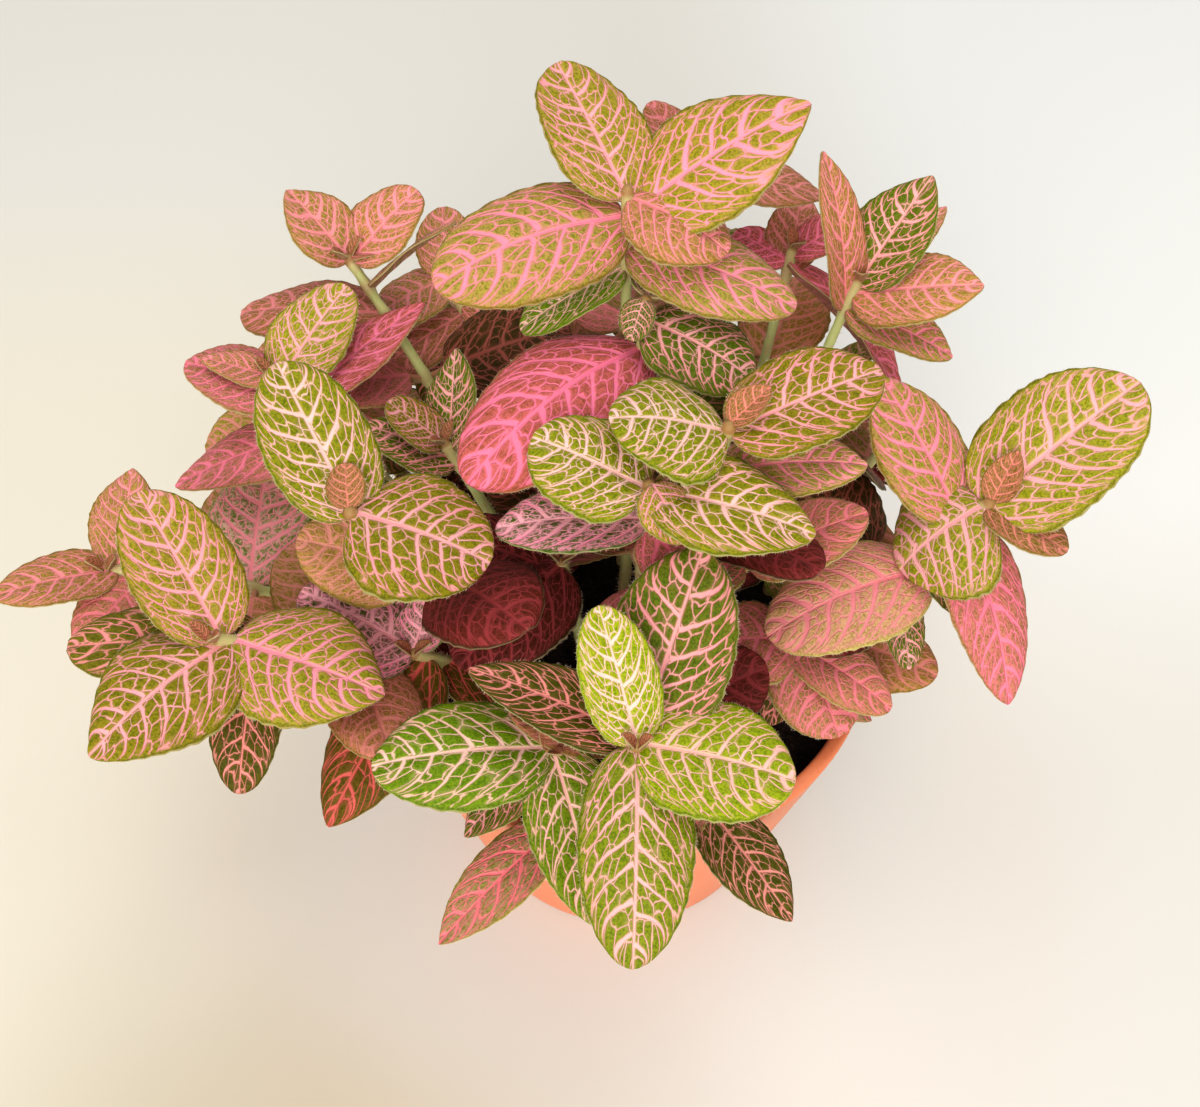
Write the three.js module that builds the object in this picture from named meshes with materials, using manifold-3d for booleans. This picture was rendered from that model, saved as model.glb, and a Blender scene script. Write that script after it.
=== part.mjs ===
import * as THREE from "three";
import { mergeVertices } from "three/addons/utils/BufferGeometryUtils.js";
import Module from "manifold-3d";

// A potted nerve plant: leafy stems with pairs of veined leaves, standing in soil in a small tapered pot.
// Millimetres, +Z up. The origin is the centre of the pot's underside. -Y is the front.
// A bearing is in degrees, clockwise from +Y as seen from above; a rise is in degrees above level.

// Pot
const POT_HEIGHT = 62;
const RIM_RADIUS = 45;
const FOOT_RADIUS = 32;
const WALL = 2;
const LIP_HEIGHT = 4;
const LIP_THICKNESS = 2.8;
const EDGE = 0.8;
const FLOOR = 2.5;
const POT_SIDES = 32;
const DRAIN_HOLES = 5;
const DRAIN_RADIUS = 3.5;
const DRAIN_SIDES = 8;
const DRAIN_CIRCLE = 20;

// Soil
const SOIL_TOP = 56;
const SOIL_EDGE_DROP = 2;
const SOIL_EDGE_WIDTH = 5;
const HOLE_RADIUS = 1.6;
const HOLE_DEPTH = 12;
const HOLE_SIDES = 6;
const GAP = 0.3;

// Stems and leaves
const STEM_RADIUS = 1.2;
const STEM_TIP_RADIUS = 0.8;
const STEM_SIDES = 5;
const STEM_STEP = 13;
const FEWEST_STEPS = 3;
const STEM_BOW = 0.12;
const STEM_STRAIGHT = 1;
const BLADE_THICKNESS = 0.7;
const STALK_WIDTH = 1.6;
const BASE_FULLNESS = 0.56;
const TIP_FULLNESS = 0.66;
const ROOT_OFFSET = 0.5;
const LARGE = { stalk: 0.08, stations: [0, 0.1, 0.3, 0.6, 0.87, 1], across: [-1, 0, 1] };
const SMALL = { stalk: 0.08, stations: [0, 0.12, 0.42, 0.8, 1], across: [-1, 0, 1] };
const SMALL_LENGTH = 18;
const OLD = { stalk: 0.15, stations: [0, 0.17, 0.45, 0.8, 1], across: [-1, 1] };
const JOINED_SHARE = 0.15;

// Older leaf pairs lower on a stem follow a rule. They are small and steep near its tip, full-size and
// level further down, and set wider apart there. Each leaf varies by seeded draws within these ranges.
const SEED = 2027;
const TOP_PAIR = 1;
const FIRST_OLD_PAIR = 25;
const LAST_OLD_PAIR = 12;
const PAIR_STEP = 8;
const WIDEST_STEP = 22;
const TIP_LENGTH = 10;
const FULL_LENGTH = 26;
const FULL_LENGTH_BELOW = 11;
const TIP_RISE = 20;
const LOW_RISE = -10;
const LOW_RISE_BELOW = 20;
const LENGTH_RANGE = [0.85, 1.1];
const TURN_RANGE = [-20, 20];
const RISE_RANGE = [0, 25];
const WIDTH_RANGE = [0.66, 0.76];
const ROLL_RANGE = [-15, 15];
const CUP_RANGE = [-0.15, 0.1];
const DROOP_RANGE = [20, 40];

const GREEN = new THREE.MeshStandardMaterial({ color: 0x8f9a3a, roughness: 0.55, metalness: 0 });
const TERRACOTTA = new THREE.MeshStandardMaterial({ color: 0xe08a63, roughness: 0.45, metalness: 0 });
const EARTH = new THREE.MeshStandardMaterial({ color: 0x2b1f19, roughness: 0.95, metalness: 0 });

// Each leafy stem: where it leaves the soil, where its tip is, and its young leaves from the tip down.
// A leaf: distance below the stem's tip, bearing, rise, length, width, roll (right side down),
// cup (edges up, as a share of half the width) and droop (how far the midrib bends down, in degrees).
const STEMS = [
  {
    name: "crown", root: [0, 19], tip: [0, 37.5, 130],
    leaves: [
      [2, 330, 25, 26, 18, 5, 0.12, 20],
      [5, 74, 28, 33, 22, 15, -0.08, 25],
      [5, 246, -5, 33, 21, -18, -0.2, 42],
      [2, 118, -12, 18, 18, 0, -0.15, 40],
      [10, 111, -10, 29, 17, 8, -0.15, 35],
      [14, 253, -24, 20, 12, 0, 0.1, 20],
    ],
  },
  {
    name: "centre_right", root: [9, 4], tip: [15, -1, 116],
    leaves: [
      [2, 72, 12, 25, 18, 5, 0.05, 20],
      [2, 264, 14, 18, 21, 0, -0.15, 45],
      [0, 55, 28, 8, 6, 0, 0.4, 10],
      [12, 94, 10, 23, 15, 0, 0, 30],
    ],
  },
  {
    name: "centre", root: [2, -4], tip: [3, -9, 112],
    leaves: [
      [2, 292, 12, 19, 20, 0, -0.05, 25],
      [2, 104, -4, 25, 19, 0, 0.05, 25],
      [0, 145, -28, 10, 9, 0, -0.1, 20],
      [10, 267, 0, 23, 13, 0, 0, 30],
      [12, 135, -25, 15, 13, 0, 0, 30],
    ],
  },
  {
    name: "left", root: [-20, -3], tip: [-42, -11, 108],
    leaves: [
      [2, 325, 32, 26, 17, 0, 0.05, 15],
      [1, 108, -12, 21.5, 24, 0, -0.1, 40],
      [0, 350, 31, 7, 6, 0, 0.4, 10],
    ],
  },
  {
    name: "front_left_outer", root: [-26, -10], tip: [-64, -24, 93],
    leaves: [
      [2, 325, 32, 26, 16.5, 0, 0.1, 20],
      [3.5, 110, -8, 25, 22, 0, -0.12, 35],
      [3.5, 224, -2, 26, 22, 0, -0.1, 35],
      [9, 266, 2, 30, 16, 0, 0, 25],
      [8, 186, -30, 23, 12, 0, 0.1, 25],
    ],
  },
  {
    name: "right", root: [27, 0], tip: [58, -2, 99],
    leaves: [
      [2, 66, 40, 30, 24, 0, 0.06, 15],
      [1, 250, -42, 17, 24, 0, -0.25, 60],
      [1, 132, 2, 14, 10, 0, 0.1, 20],
      [0, 34, 45, 9, 6, 0, 0.4, 10],
      [6, 327, 28, 27, 17, 0, -0.1, 25],
      [6, 157, -25, 31, 14, 0, -0.1, 30],
      [10, 155, -32, 15, 12, 0, 0, 25],
    ],
  },
  {
    name: "front", root: [3, -19], tip: [1, -42, 92],
    leaves: [
      [1, 340, 42, 21, 12, 0, 0.1, 10],
      [2, 105, 5, 23, 20, 0, -0.05, 25],
      [2, 181, -20, 31, 17, 0, -0.08, 35],
      [6, 25, 36, 30, 20, 0, 0.05, 15],
      [5, 289, 18, 27, 12, 0, 0.1, 20],
    ],
  },
  {
    name: "front_left", root: [-8, -21], tip: [-12, -37, 82],
    leaves: [
      [1, 262, 6, 27, 19, 0, -0.08, 30],
      [1, 161, -20, 27, 15, 0, 0.2, 25],
      [7, 228, -14, 20, 10, 0, 0, 30],
    ],
  },
  {
    name: "under_crown", root: [0, 8], tip: [3, 26, 117],
    leaves: [
      [0, 352, -20, 12, 10, 0, 0.3, 10],
      [0, 205, -35, 7, 6, 0, 0.3, 10],
      [4, 116, -12, 20, 17, 5, -0.1, 30],
      [9, 226, -12, 38, 23, -8, -0.25, 55],
    ],
  },
  {
    name: "upper_left", root: [-24, 10], tip: [-61, 26, 100],
    leaves: [
      [2, 38, 28, 20, 16, 0, 0.05, 15],
      [1, 266, 26, 12, 8, 0, 0.1, 10],
      [6, 275, 22, 19, 15, 0, 0, 25],
      [7, 57, 20, 27, 14, -10, 0, 25],
      [14, 246, -5, 28, 14, 0, -0.1, 30],
    ],
  },
  {
    name: "far_left", root: [-30, 0], tip: [-89, -1, 80],
    leaves: [
      [2, 4, 24, 18, 12, 0, 0.2, 15],
      [2, 245, 12, 20, 12, 0, 0.1, 25],
      [7, 207, 0, 18, 14, 0, 0, 30],
      [6, 120, -15, 15, 12, 0, 0, 30],
      [24, 4, 22, 24, 19, 0, -0.05, 30],
    ],
  },
  {
    name: "back_right", root: [20, 13], tip: [41, 42, 108],
    leaves: [
      [2, 48, 44, 22, 15, 0, 0.1, 10],
      [3.5, 108, 18, 22, 17, 10, 0, 20],
      [6, 350, 46, 27, 11, 20, 0.2, 40],
      [6, 44, 24, 27, 9, 0, 0.1, 20],
      [6, 116, -10, 20, 13, 0, 0.1, 25],
    ],
  },
  {
    name: "back_left", root: [-15, 14], tip: [-49, 47, 108],
    leaves: [
      [1, 306, 38, 16, 13, 0, 0.15, 15],
      [1, 50, 28, 17, 15, 0, 0.1, 20],
      [0, 75, 15, 10, 6, 0, 0.4, 10],
      [6, 62, 24, 19, 10, -40, 0.1, 20],
      [12, 264, 6, 28, 17, 0, -0.1, 30],
    ],
  },
  {
    name: "right_low", root: [22, -7], tip: [51, -5, 86],
    leaves: [
      [1, 251, -9, 29, 19, -5, -0.15, 45],
      [7, 172, -30, 14, 7, 0, 0, 25],
    ],
  },
  {
    name: "back_crown", root: [10, 26], tip: [14, 68, 112],
    leaves: [
      [1, 300, 42, 15, 12, 0, 0.1, 20],
      [2, 103, -2, 23, 14, 0, 0, 30],
    ],
  },
  {
    name: "back_inner_right", root: [19, 22], tip: [32, 60, 100],
    leaves: [
      [2, 72, 26, 15, 10, 0, 0.1, 20],
      [5, 14, 35, 17, 11, 0, 0.1, 20],
      [3.5, 306, 15, 12, 11, 0, 0, 20],
      [3.5, 135, -26, 33, 17, -35, 0.35, 25],
    ],
  },
  {
    name: "back_inner_left", root: [-11, 24], tip: [-33, 54, 98],
    leaves: [
      [1, 245, -12, 15, 14, 0, -0.1, 30],
      [1, 350, 30, 14, 11, 0, 0.1, 15],
      [6, 101, -15, 20, 13, 0, -0.2, 50],
      [8, 208, -35, 18, 12, 0, 0, 30],
      [8, 236, -18, 24, 13, 0, 0, 30],
    ],
  },
  {
    name: "inner_left", root: [-13, 4], tip: [-31, 15, 95],
    leaves: [
      [2, 5, 42, 17, 13, -40, 0.1, 15],
      [1, 290, 35, 12, 9, 0, 0.1, 15],
      [5, 282, 24, 17, 12, 0, 0.05, 20],
    ],
  },
  {
    name: "front_right", root: [15, -14], tip: [29.5, -12.5, 76],
    leaves: [
      [1, 287, 4, 16, 17, 0, -0.1, 35],
      [1, 156, -24, 17, 17, 0, -0.1, 35],
      [2, 124, -8, 19, 12, 0, 0, 30],
      [2, 196, -30, 14, 10, 0, 0, 25],
      [5, 134, -12, 21, 9, 0, 0, 25],
    ],
  },
  {
    name: "left_low", root: [-17, -12], tip: [-35, -18, 80],
    leaves: [
      [1, 290, 26, 21, 19, 0, -0.05, 25],
      [0, 20, 30, 10, 9, 0, 0.2, 15],
      [3.5, 210, -18, 31, 17, 0, -0.1, 35],
      [7, 112, -14, 24, 14, 0, 0, 30],
    ],
  },
  {
    name: "inner_front", root: [-6, -9], tip: [-11, -2, 84],
    leaves: [
      [1, 236, -14, 24, 20, 0, -0.1, 40],
      [3.5, 273, 11, 21, 16, 0, 0, 30],
    ],
  },
  {
    name: "inner_right", root: [12, -4], tip: [20, -5, 88],
    leaves: [
      [1, 266, 2, 15, 12, 0, 0, 25],
      [1, 80, 24, 21, 14, 0, 0, 25],
    ],
  },
  {
    name: "front_trailing_left", root: [-4, -29], tip: [-11, -43, 68],
    leaves: [
      [1, 226, -10, 26, 11, 0, 0.1, 25],
      [1, 130, -20, 14, 10, 0, 0, 25],
    ],
  },
  {
    name: "front_trailing_right", root: [12, -24], tip: [12, -39, 68],
    leaves: [
      [1, 145, -14, 23, 12, 0, -0.05, 30],
      [0, 222, -25, 8, 6, 0, 0.2, 20],
    ],
  },
  { name: "back_low", root: [0, 27], tip: [0, 62, 76], leaves: [] },
  { name: "back_right_low", root: [28, 12], tip: [52, 34, 76], leaves: [] },
  { name: "back_left_low", root: [-22, 19], tip: [-66, 42, 78], leaves: [] },
  { name: "back_far", root: [-6, 30], tip: [-15, 70, 85], leaves: [] },
  { name: "back_trailing_right", root: [25, 21], tip: [42, 50, 72], leaves: [] },
  { name: "back_trailing_left", root: [-19, 23], tip: [-38, 55, 72], leaves: [] },
];

// Turns and tilts, in degrees, that a leaf tries in this order until it lies clear of its neighbours
const BEND_SIZES = [7, 14, 21, 28, 36];
const BEND_WAYS = [[0, 1], [0, -1], [1, 0], [-1, 0], [1, 1], [-1, 1], [1, -1], [-1, -1]];
const BENDS = [[0, 0]];
for (const size of BEND_SIZES) {
  for (const [turn, tilt] of BEND_WAYS) {
    BENDS.push([turn * size, tilt * size]);
  }
}
const SHRINKS = [1, 0.8, 0.62];

const wasm = await Module();
wasm.setup();
const { degToRad: radians, lerp } = THREE.MathUtils;

// A seeded draw from a range
const DRAW_FACTOR = 16807;
const DRAW_LIMIT = 2147483647;
let state = SEED;
function draw([low, high]) {
  state = (state * DRAW_FACTOR) % DRAW_LIMIT;
  return lerp(low, high, state / DRAW_LIMIT);
}

function solidOf(geometry) {
  const bare = geometry.clone().deleteAttribute("normal").deleteAttribute("uv");
  const merged = mergeVertices(bare, 1e-4);
  const triVerts = [];
  for (let i = 0; i < merged.index.count; i += 3) {
    const corners = [0, 1, 2].map((k) => merged.index.getX(i + k));
    if (new Set(corners).size === 3) triVerts.push(...corners);
  }
  const vertProperties = new Float32Array(merged.attributes.position.array);
  const mesh = new wasm.Mesh({ numProp: 3, vertProperties, triVerts: new Uint32Array(triVerts) });
  return new wasm.Manifold(mesh);
}

function meshOf(name, solid, material) {
  const { vertProperties, triVerts } = solid.getMesh();
  const geometry = new THREE.BufferGeometry();
  geometry.setAttribute("position", new THREE.BufferAttribute(new Float32Array(vertProperties), 3));
  geometry.setIndex(new THREE.BufferAttribute(new Uint32Array(triVerts), 1));
  geometry.computeVertexNormals();
  const mesh = new THREE.Mesh(geometry, material);
  mesh.name = name;
  return mesh;
}

// A closed solid through rings with equal numbers of points, its two ends closed by fans.
// Quads from point number `turned` on are split the other way, so a blade's two faces are split alike.
function loft(rings, turned) {
  const count = rings[0].length;
  const index = [];
  for (let i = 0; i + 1 < rings.length; i++) {
    for (let j = 0; j < count; j++) {
      const a = i * count + j;
      const b = i * count + ((j + 1) % count);
      if (j < turned) index.push(a, b, b + count, a, b + count, a + count);
      else index.push(a, b, a + count, b, b + count, a + count);
    }
  }
  const last = (rings.length - 1) * count;
  for (let j = 1; j + 1 < count; j++) {
    index.push(0, j + 1, j, last, last + j, last + j + 1);
  }
  const geometry = new THREE.BufferGeometry().setFromPoints(rings.flat());
  return geometry.setIndex(index);
}

// Half the width of a leaf, as a share of its greatest, at a share u of the way from blade base to tip
function outline(u) {
  const widest = BASE_FULLNESS / (BASE_FULLNESS + TIP_FULLNESS);
  const shape = (v) => v ** BASE_FULLNESS * (1 - v) ** TIP_FULLNESS;
  return shape(u) / shape(widest);
}

// The leaf's surface: t runs along the midrib, across is the distance to its right, up is off the surface.
function leafPoint(leaf, t, across, up) {
  const bend = radians(leaf.droop);
  const start = radians(leaf.rise) + bend / 2;
  const now = start - bend * t;
  const radius = leaf.length / (2 * Math.sin(bend / 2));
  const out = radius * (Math.sin(start) - Math.sin(now));
  const height = radius * (Math.cos(now) - Math.cos(start));
  const bearing = radians(leaf.bearing);
  const ahead = new THREE.Vector3(Math.sin(bearing), Math.cos(bearing), 0);
  const right = new THREE.Vector3(Math.cos(bearing), -Math.sin(bearing), 0);
  const normal = ahead.clone().multiplyScalar(-Math.sin(now)).setZ(Math.cos(now));
  const roll = radians(leaf.roll);
  const side = right.clone().multiplyScalar(Math.cos(roll)).addScaledVector(normal, -Math.sin(roll));
  const face = normal.clone().multiplyScalar(Math.cos(roll)).addScaledVector(right, Math.sin(roll));
  const lift = (leaf.cup * Math.abs(across) ** 1.5) / Math.sqrt(leaf.width / 2);
  return leaf.base.clone()
    .addScaledVector(ahead, out + ROOT_OFFSET)
    .add(new THREE.Vector3(0, 0, height))
    .addScaledVector(side, across)
    .addScaledVector(face, lift + up);
}

// A leaf with its stalk as one thin solid, made larger all round by a margin, from a share of its length on
function leafSolid(leaf, margin, from) {
  const { stalk, stations, across } = leaf.kind;
  const up = BLADE_THICKNESS / 2 + margin;
  const rings = stations.filter((t) => t >= from).map((t) => {
    const u = Math.min(Math.max((t - stalk) / (1 - stalk), 0), 1);
    const half = Math.max(STALK_WIDTH / 2, (leaf.width / 2) * outline(u)) + margin;
    if (t === 1) return Array(2 * across.length).fill(leafPoint(leaf, 1, 0, 0));
    const top = across.map((share) => leafPoint(leaf, t, half * share, up));
    const bottom = across.map((share) => leafPoint(leaf, t, half * share, -up)).reverse();
    return [...top, ...bottom];
  });
  return solidOf(loft(rings, across.length));
}

// The stem's centre line: straight down into the soil, and a bowed curve to its tip
function stemCurve(stem) {
  const [x, y] = stem.root;
  const foot = new THREE.Vector3(x, y, SOIL_TOP + STEM_STRAIGHT);
  const tip = new THREE.Vector3(...stem.tip);
  const run = Math.hypot(tip.x - x, tip.y - y);
  const middle = foot.clone().lerp(tip, 0.5).add(new THREE.Vector3(0, 0, STEM_BOW * run));
  return new THREE.QuadraticBezierCurve3(foot, middle, tip);
}

// A stem with flat sides that tapers from its end in the soil to its tip
function stemSolid(curve) {
  const steps = Math.max(FEWEST_STEPS, Math.round(curve.getLength() / STEM_STEP));
  const centres = [curve.v0.clone().setZ(SOIL_TOP - HOLE_DEPTH + GAP), ...curve.getSpacedPoints(steps)];
  const rings = centres.map((centre, i) => {
    const before = centres[Math.max(i - 1, 0)];
    const after = centres[Math.min(i + 1, centres.length - 1)];
    const along = after.clone().sub(before).normalize();
    const side = new THREE.Vector3(0, 1, 0).cross(along).normalize();
    const other = along.clone().cross(side);
    const radius = lerp(STEM_RADIUS, STEM_TIP_RADIUS, i / (centres.length - 1));
    return Array.from({ length: STEM_SIDES }, (_, j) => {
      const angle = (j / STEM_SIDES) * 2 * Math.PI;
      return centre.clone()
        .addScaledVector(side, radius * Math.cos(angle))
        .addScaledVector(other, radius * Math.sin(angle));
    });
  });
  return solidOf(loft(rings, STEM_SIDES));
}

// The leaves of a stem, the young ones as listed and the older pairs by rule
function leavesOf(stem, curve) {
  const length = curve.getLength();
  const named = stem.leaves.map(([below, bearing, rise, size, width, roll, cup, droop]) => {
    const kind = size < SMALL_LENGTH ? SMALL : LARGE;
    return { below, bearing, rise, length: size, width, roll, cup, droop, kind };
  });
  const old = [];
  let quarter = draw([0, 360]);
  let below = named.length ? FIRST_OLD_PAIR : TOP_PAIR;
  while (below < length - LAST_OLD_PAIR) {
    const grown = Math.min(below / FULL_LENGTH_BELOW, 1);
    const lowered = Math.min(below / LOW_RISE_BELOW, 1);
    for (const half of [0, 180]) {
      const size = lerp(TIP_LENGTH, FULL_LENGTH, grown) * draw(LENGTH_RANGE);
      old.push({
        below,
        bearing: quarter + half + draw(TURN_RANGE),
        rise: lerp(TIP_RISE, LOW_RISE, lowered) + draw(RISE_RANGE),
        length: size,
        width: size * draw(WIDTH_RANGE),
        roll: draw(ROLL_RANGE),
        cup: draw(CUP_RANGE),
        droop: draw(DROOP_RANGE),
        kind: OLD,
      });
    }
    quarter += 90;
    below += Math.min(below + PAIR_STEP, WIDEST_STEP);
  }
  const leaves = [...named, ...old];
  for (const leaf of leaves) leaf.base = curve.getPointAt(Math.max(0, 1 - leaf.below / length));
  return leaves;
}

// Pot: a tapered shell with a thicker lip and drain holes round the middle of its floor
const slope = (RIM_RADIUS - FOOT_RADIUS) / POT_HEIGHT;
const outerRadius = (z) => FOOT_RADIUS + slope * z;
const potProfile = [
  [0, 0],
  [FOOT_RADIUS - EDGE, 0],
  [outerRadius(EDGE), EDGE],
  [outerRadius(POT_HEIGHT - EDGE), POT_HEIGHT - EDGE],
  [RIM_RADIUS - EDGE, POT_HEIGHT],
  [RIM_RADIUS - LIP_THICKNESS + EDGE, POT_HEIGHT],
  [RIM_RADIUS - LIP_THICKNESS, POT_HEIGHT - EDGE],
  [outerRadius(POT_HEIGHT - LIP_HEIGHT) - WALL, POT_HEIGHT - LIP_HEIGHT],
  [outerRadius(FLOOR) - WALL, FLOOR],
  [0, FLOOR],
];
const potShell = new THREE.LatheGeometry(potProfile.map(([r, z]) => new THREE.Vector2(r, z)), POT_SIDES);
potShell.rotateX(Math.PI / 2);
let pot = solidOf(potShell);
for (let i = 0; i < DRAIN_HOLES; i++) {
  const angle = (i / DRAIN_HOLES) * 2 * Math.PI;
  const hole = new THREE.CylinderGeometry(DRAIN_RADIUS, DRAIN_RADIUS, 4 * FLOOR, DRAIN_SIDES);
  hole.rotateX(Math.PI / 2);
  hole.translate(DRAIN_CIRCLE * Math.cos(angle), DRAIN_CIRCLE * Math.sin(angle), 0);
  pot = pot.subtract(solidOf(hole));
}

// Soil: fills the pot to just under the lip, low at its edge, with a plain hole for each stem
const soilRadius = (z) => outerRadius(z) - WALL - GAP;
const soilProfile = [
  [0, FLOOR + GAP],
  [soilRadius(FLOOR + GAP), FLOOR + GAP],
  [soilRadius(SOIL_TOP - SOIL_EDGE_DROP), SOIL_TOP - SOIL_EDGE_DROP],
  [soilRadius(SOIL_TOP) - SOIL_EDGE_WIDTH, SOIL_TOP],
  [0, SOIL_TOP],
];
const soilBody = new THREE.LatheGeometry(soilProfile.map(([r, z]) => new THREE.Vector2(r, z)), POT_SIDES);
soilBody.rotateX(Math.PI / 2);
let soil = solidOf(soilBody);
for (const { root: [x, y] } of STEMS) {
  const hole = new THREE.CylinderGeometry(HOLE_RADIUS, HOLE_RADIUS, 2 * HOLE_DEPTH, HOLE_SIDES);
  hole.rotateX(Math.PI / 2);
  soil = soil.subtract(solidOf(hole.translate(x, y, SOIL_TOP)));
}

// What is in place: each solid with the stem it belongs to, and the outer part of it that the other
// leaves of that stem avoid
const placed = [];
function place(solid, outer, owner) {
  placed.push({ solid, outer, owner });
}
function areApart(a, b) {
  const [p, q] = [a.boundingBox(), b.boundingBox()];
  if ([0, 1, 2].some((k) => p.min[k] > q.max[k] || p.max[k] < q.min[k])) return true;
  const common = a.intersect(b);
  const apart = common.isEmpty();
  common.delete();
  return apart;
}
function isClear(solid, outer, owner) {
  return placed.every((other) => {
    return other.owner === owner ? areApart(outer, other.outer) : areApart(solid, other.solid);
  });
}

place(pot, pot, "pot");
place(soil, soil, "soil");
const curves = STEMS.map(stemCurve);
STEMS.forEach((stem, i) => {
  const solid = stemSolid(curves[i]);
  place(solid, solid, stem.name);
  stem.solids = [solid];
});

// Each leaf takes the first bend that lies clear, at full size if it can, and is left out if none does.
function bentLeaf(leaf, owner) {
  for (const shrink of SHRINKS) {
    for (const [turn, tilt] of BENDS) {
      const bent = {
        ...leaf,
        bearing: leaf.bearing + turn,
        rise: leaf.rise + tilt,
        length: leaf.length * shrink,
        width: leaf.width * shrink,
      };
      if (isClear(leafSolid(bent, GAP, 0), leafSolid(bent, GAP, JOINED_SHARE), owner)) return bent;
    }
  }
  return null;
}

const foliage = STEMS.map((stem, i) => leavesOf(stem, curves[i]));
for (const old of [false, true]) {
  STEMS.forEach((stem, i) => {
    for (const leaf of foliage[i].filter((each) => (each.kind === OLD) === old)) {
      const bent = bentLeaf(leaf, stem.name);
      if (!bent) continue;
      const solid = leafSolid(bent, 0, 0);
      place(solid, leafSolid(bent, 0, JOINED_SHARE), stem.name);
      stem.solids.push(solid);
    }
  });
}

const plant = new THREE.Group();
plant.add(meshOf("pot", pot, TERRACOTTA));
plant.add(meshOf("soil", soil, EARTH));
for (const stem of STEMS) {
  plant.add(meshOf("leafy_stem_" + stem.name, wasm.Manifold.union(stem.solids), GREEN));
}

export default plant;
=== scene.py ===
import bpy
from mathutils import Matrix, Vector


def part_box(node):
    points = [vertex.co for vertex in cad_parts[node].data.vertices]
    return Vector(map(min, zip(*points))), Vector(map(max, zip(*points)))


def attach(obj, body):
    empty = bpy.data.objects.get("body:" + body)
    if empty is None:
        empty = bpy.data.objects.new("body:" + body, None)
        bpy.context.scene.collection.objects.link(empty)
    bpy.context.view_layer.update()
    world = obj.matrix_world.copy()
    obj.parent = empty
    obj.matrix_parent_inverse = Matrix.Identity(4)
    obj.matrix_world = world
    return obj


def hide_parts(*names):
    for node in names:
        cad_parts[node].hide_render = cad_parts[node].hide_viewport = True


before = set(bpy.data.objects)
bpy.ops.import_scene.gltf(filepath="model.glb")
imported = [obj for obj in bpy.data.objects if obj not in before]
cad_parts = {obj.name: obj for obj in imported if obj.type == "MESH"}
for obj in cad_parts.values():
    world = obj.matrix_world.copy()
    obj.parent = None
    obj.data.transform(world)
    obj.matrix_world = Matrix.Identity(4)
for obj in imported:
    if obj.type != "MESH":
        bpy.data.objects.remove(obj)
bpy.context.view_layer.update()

import copy
import math
import random

import bpy
import numpy as np
from mathutils import Vector, kdtree, noise

MM = 0.001


# The pot: a small tapered nursery pot, moulded in one piece from terracotta-coloured plastic, with a thicker
# rounded lip and five drain holes in its floor. Its height and rim come from the frame.
POT_FOOT_RADIUS = 32.0
POT_WALL = 2.0
POT_FLOOR = 2.5
POT_SIDES = 144
POT_SHARP_EDGE = 50
LIP_THICKNESS = 2.8
LIP_HEIGHT = 4.0
LIP_ROUND = 1.1
FOOT_ROUND = 1.2
DRAIN_HOLES = 5
DRAIN_RADIUS = 3.5
DRAIN_CIRCLE = 20.0
DRAIN_SIDES = 32
TERRACOTTA = "e8875c"
# the pale colour of the painted sheen on the pot's upper wall
TERRACOTTA_SHEEN = "f2b090"
TERRACOTTA_DARK = "c96a42"


def linear(code):
    """The colour that a six-digit code names, as a shader's four values."""
    parts = [int(code[i:i + 2], 16) / 255 for i in (0, 2, 4)]
    return tuple(p / 12.92 if p <= 0.04045 else ((p + 0.055) / 1.055) ** 2.4 for p in parts) + (1.0,)


class Socket:
    """A socket of a material's nodes. Arithmetic on it adds Math nodes, and node() adds any other node."""

    def __init__(self, tree, socket=None):
        self.tree = tree
        self.socket = socket

    def node(self, kind, settings, inputs, output=0):
        made = self.tree.nodes.new("ShaderNode" + kind)
        for key, value in settings.items():
            setattr(made, key, value)
        for key, value in inputs.items():
            if isinstance(value, Socket):
                self.tree.links.new(value.socket, made.inputs[key])
            else:
                made.inputs[key].default_value = value
        return Socket(self.tree, made.outputs[output])

    def math(self, operation, *values):
        return self.node("Math", {"operation": operation}, dict(enumerate(values)))

    def __add__(self, other):
        return self.math("ADD", self, other)

    def __radd__(self, other):
        return self.math("ADD", other, self)

    def __sub__(self, other):
        return self.math("SUBTRACT", self, other)

    def __rsub__(self, other):
        return self.math("SUBTRACT", other, self)

    def __mul__(self, other):
        return self.math("MULTIPLY", self, other)

    def __rmul__(self, other):
        return self.math("MULTIPLY", other, self)

    def __abs__(self):
        return self.math("ABSOLUTE", self)

    def over(self, low, high):
        """0 where this is under low, 1 where it is over high, and smooth between."""
        settings = {"interpolation_type": "SMOOTHSTEP"}
        return self.node("MapRange", settings, {"Value": self, "From Min": low, "From Max": high})

    def paint(self, under, coat):
        """The colour under, with the colour coat over it as far as this mask says."""
        return self.node("Mix", {"data_type": "RGBA"}, {0: self, 6: under, 7: coat}, output=2)

    def parts(self):
        """The three numbers of a vector."""
        outputs = self.node("SeparateXYZ", {}, {0: self}).socket.node.outputs
        return [Socket(self.tree, each) for each in outputs]

    def grain(self, scale, detail=2.0, roughness=0.5):
        """Noise at these coordinates, about 0.5 in the mean."""
        values = {"Vector": self, "Scale": scale, "Detail": detail, "Roughness": roughness}
        return self.node("TexNoise", {}, values)

    def relief(self, strength, distance):
        """The surface raised by this height, which is a share of distance."""
        return self.node("Bump", {}, {"Strength": strength, "Distance": distance, "Height": self})


def new_finish(name, constants):
    """A new material with these constants on its shader, and the object's coordinates to work it out from."""
    material = bpy.data.materials.new(name)
    material.use_nodes = True
    shader = material.node_tree.nodes["Principled BSDF"]
    for key, value in constants.items():
        shader.inputs[key].default_value = value
    return material, Socket(material.node_tree).node("TexCoord", {}, {}, output="Object")


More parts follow.
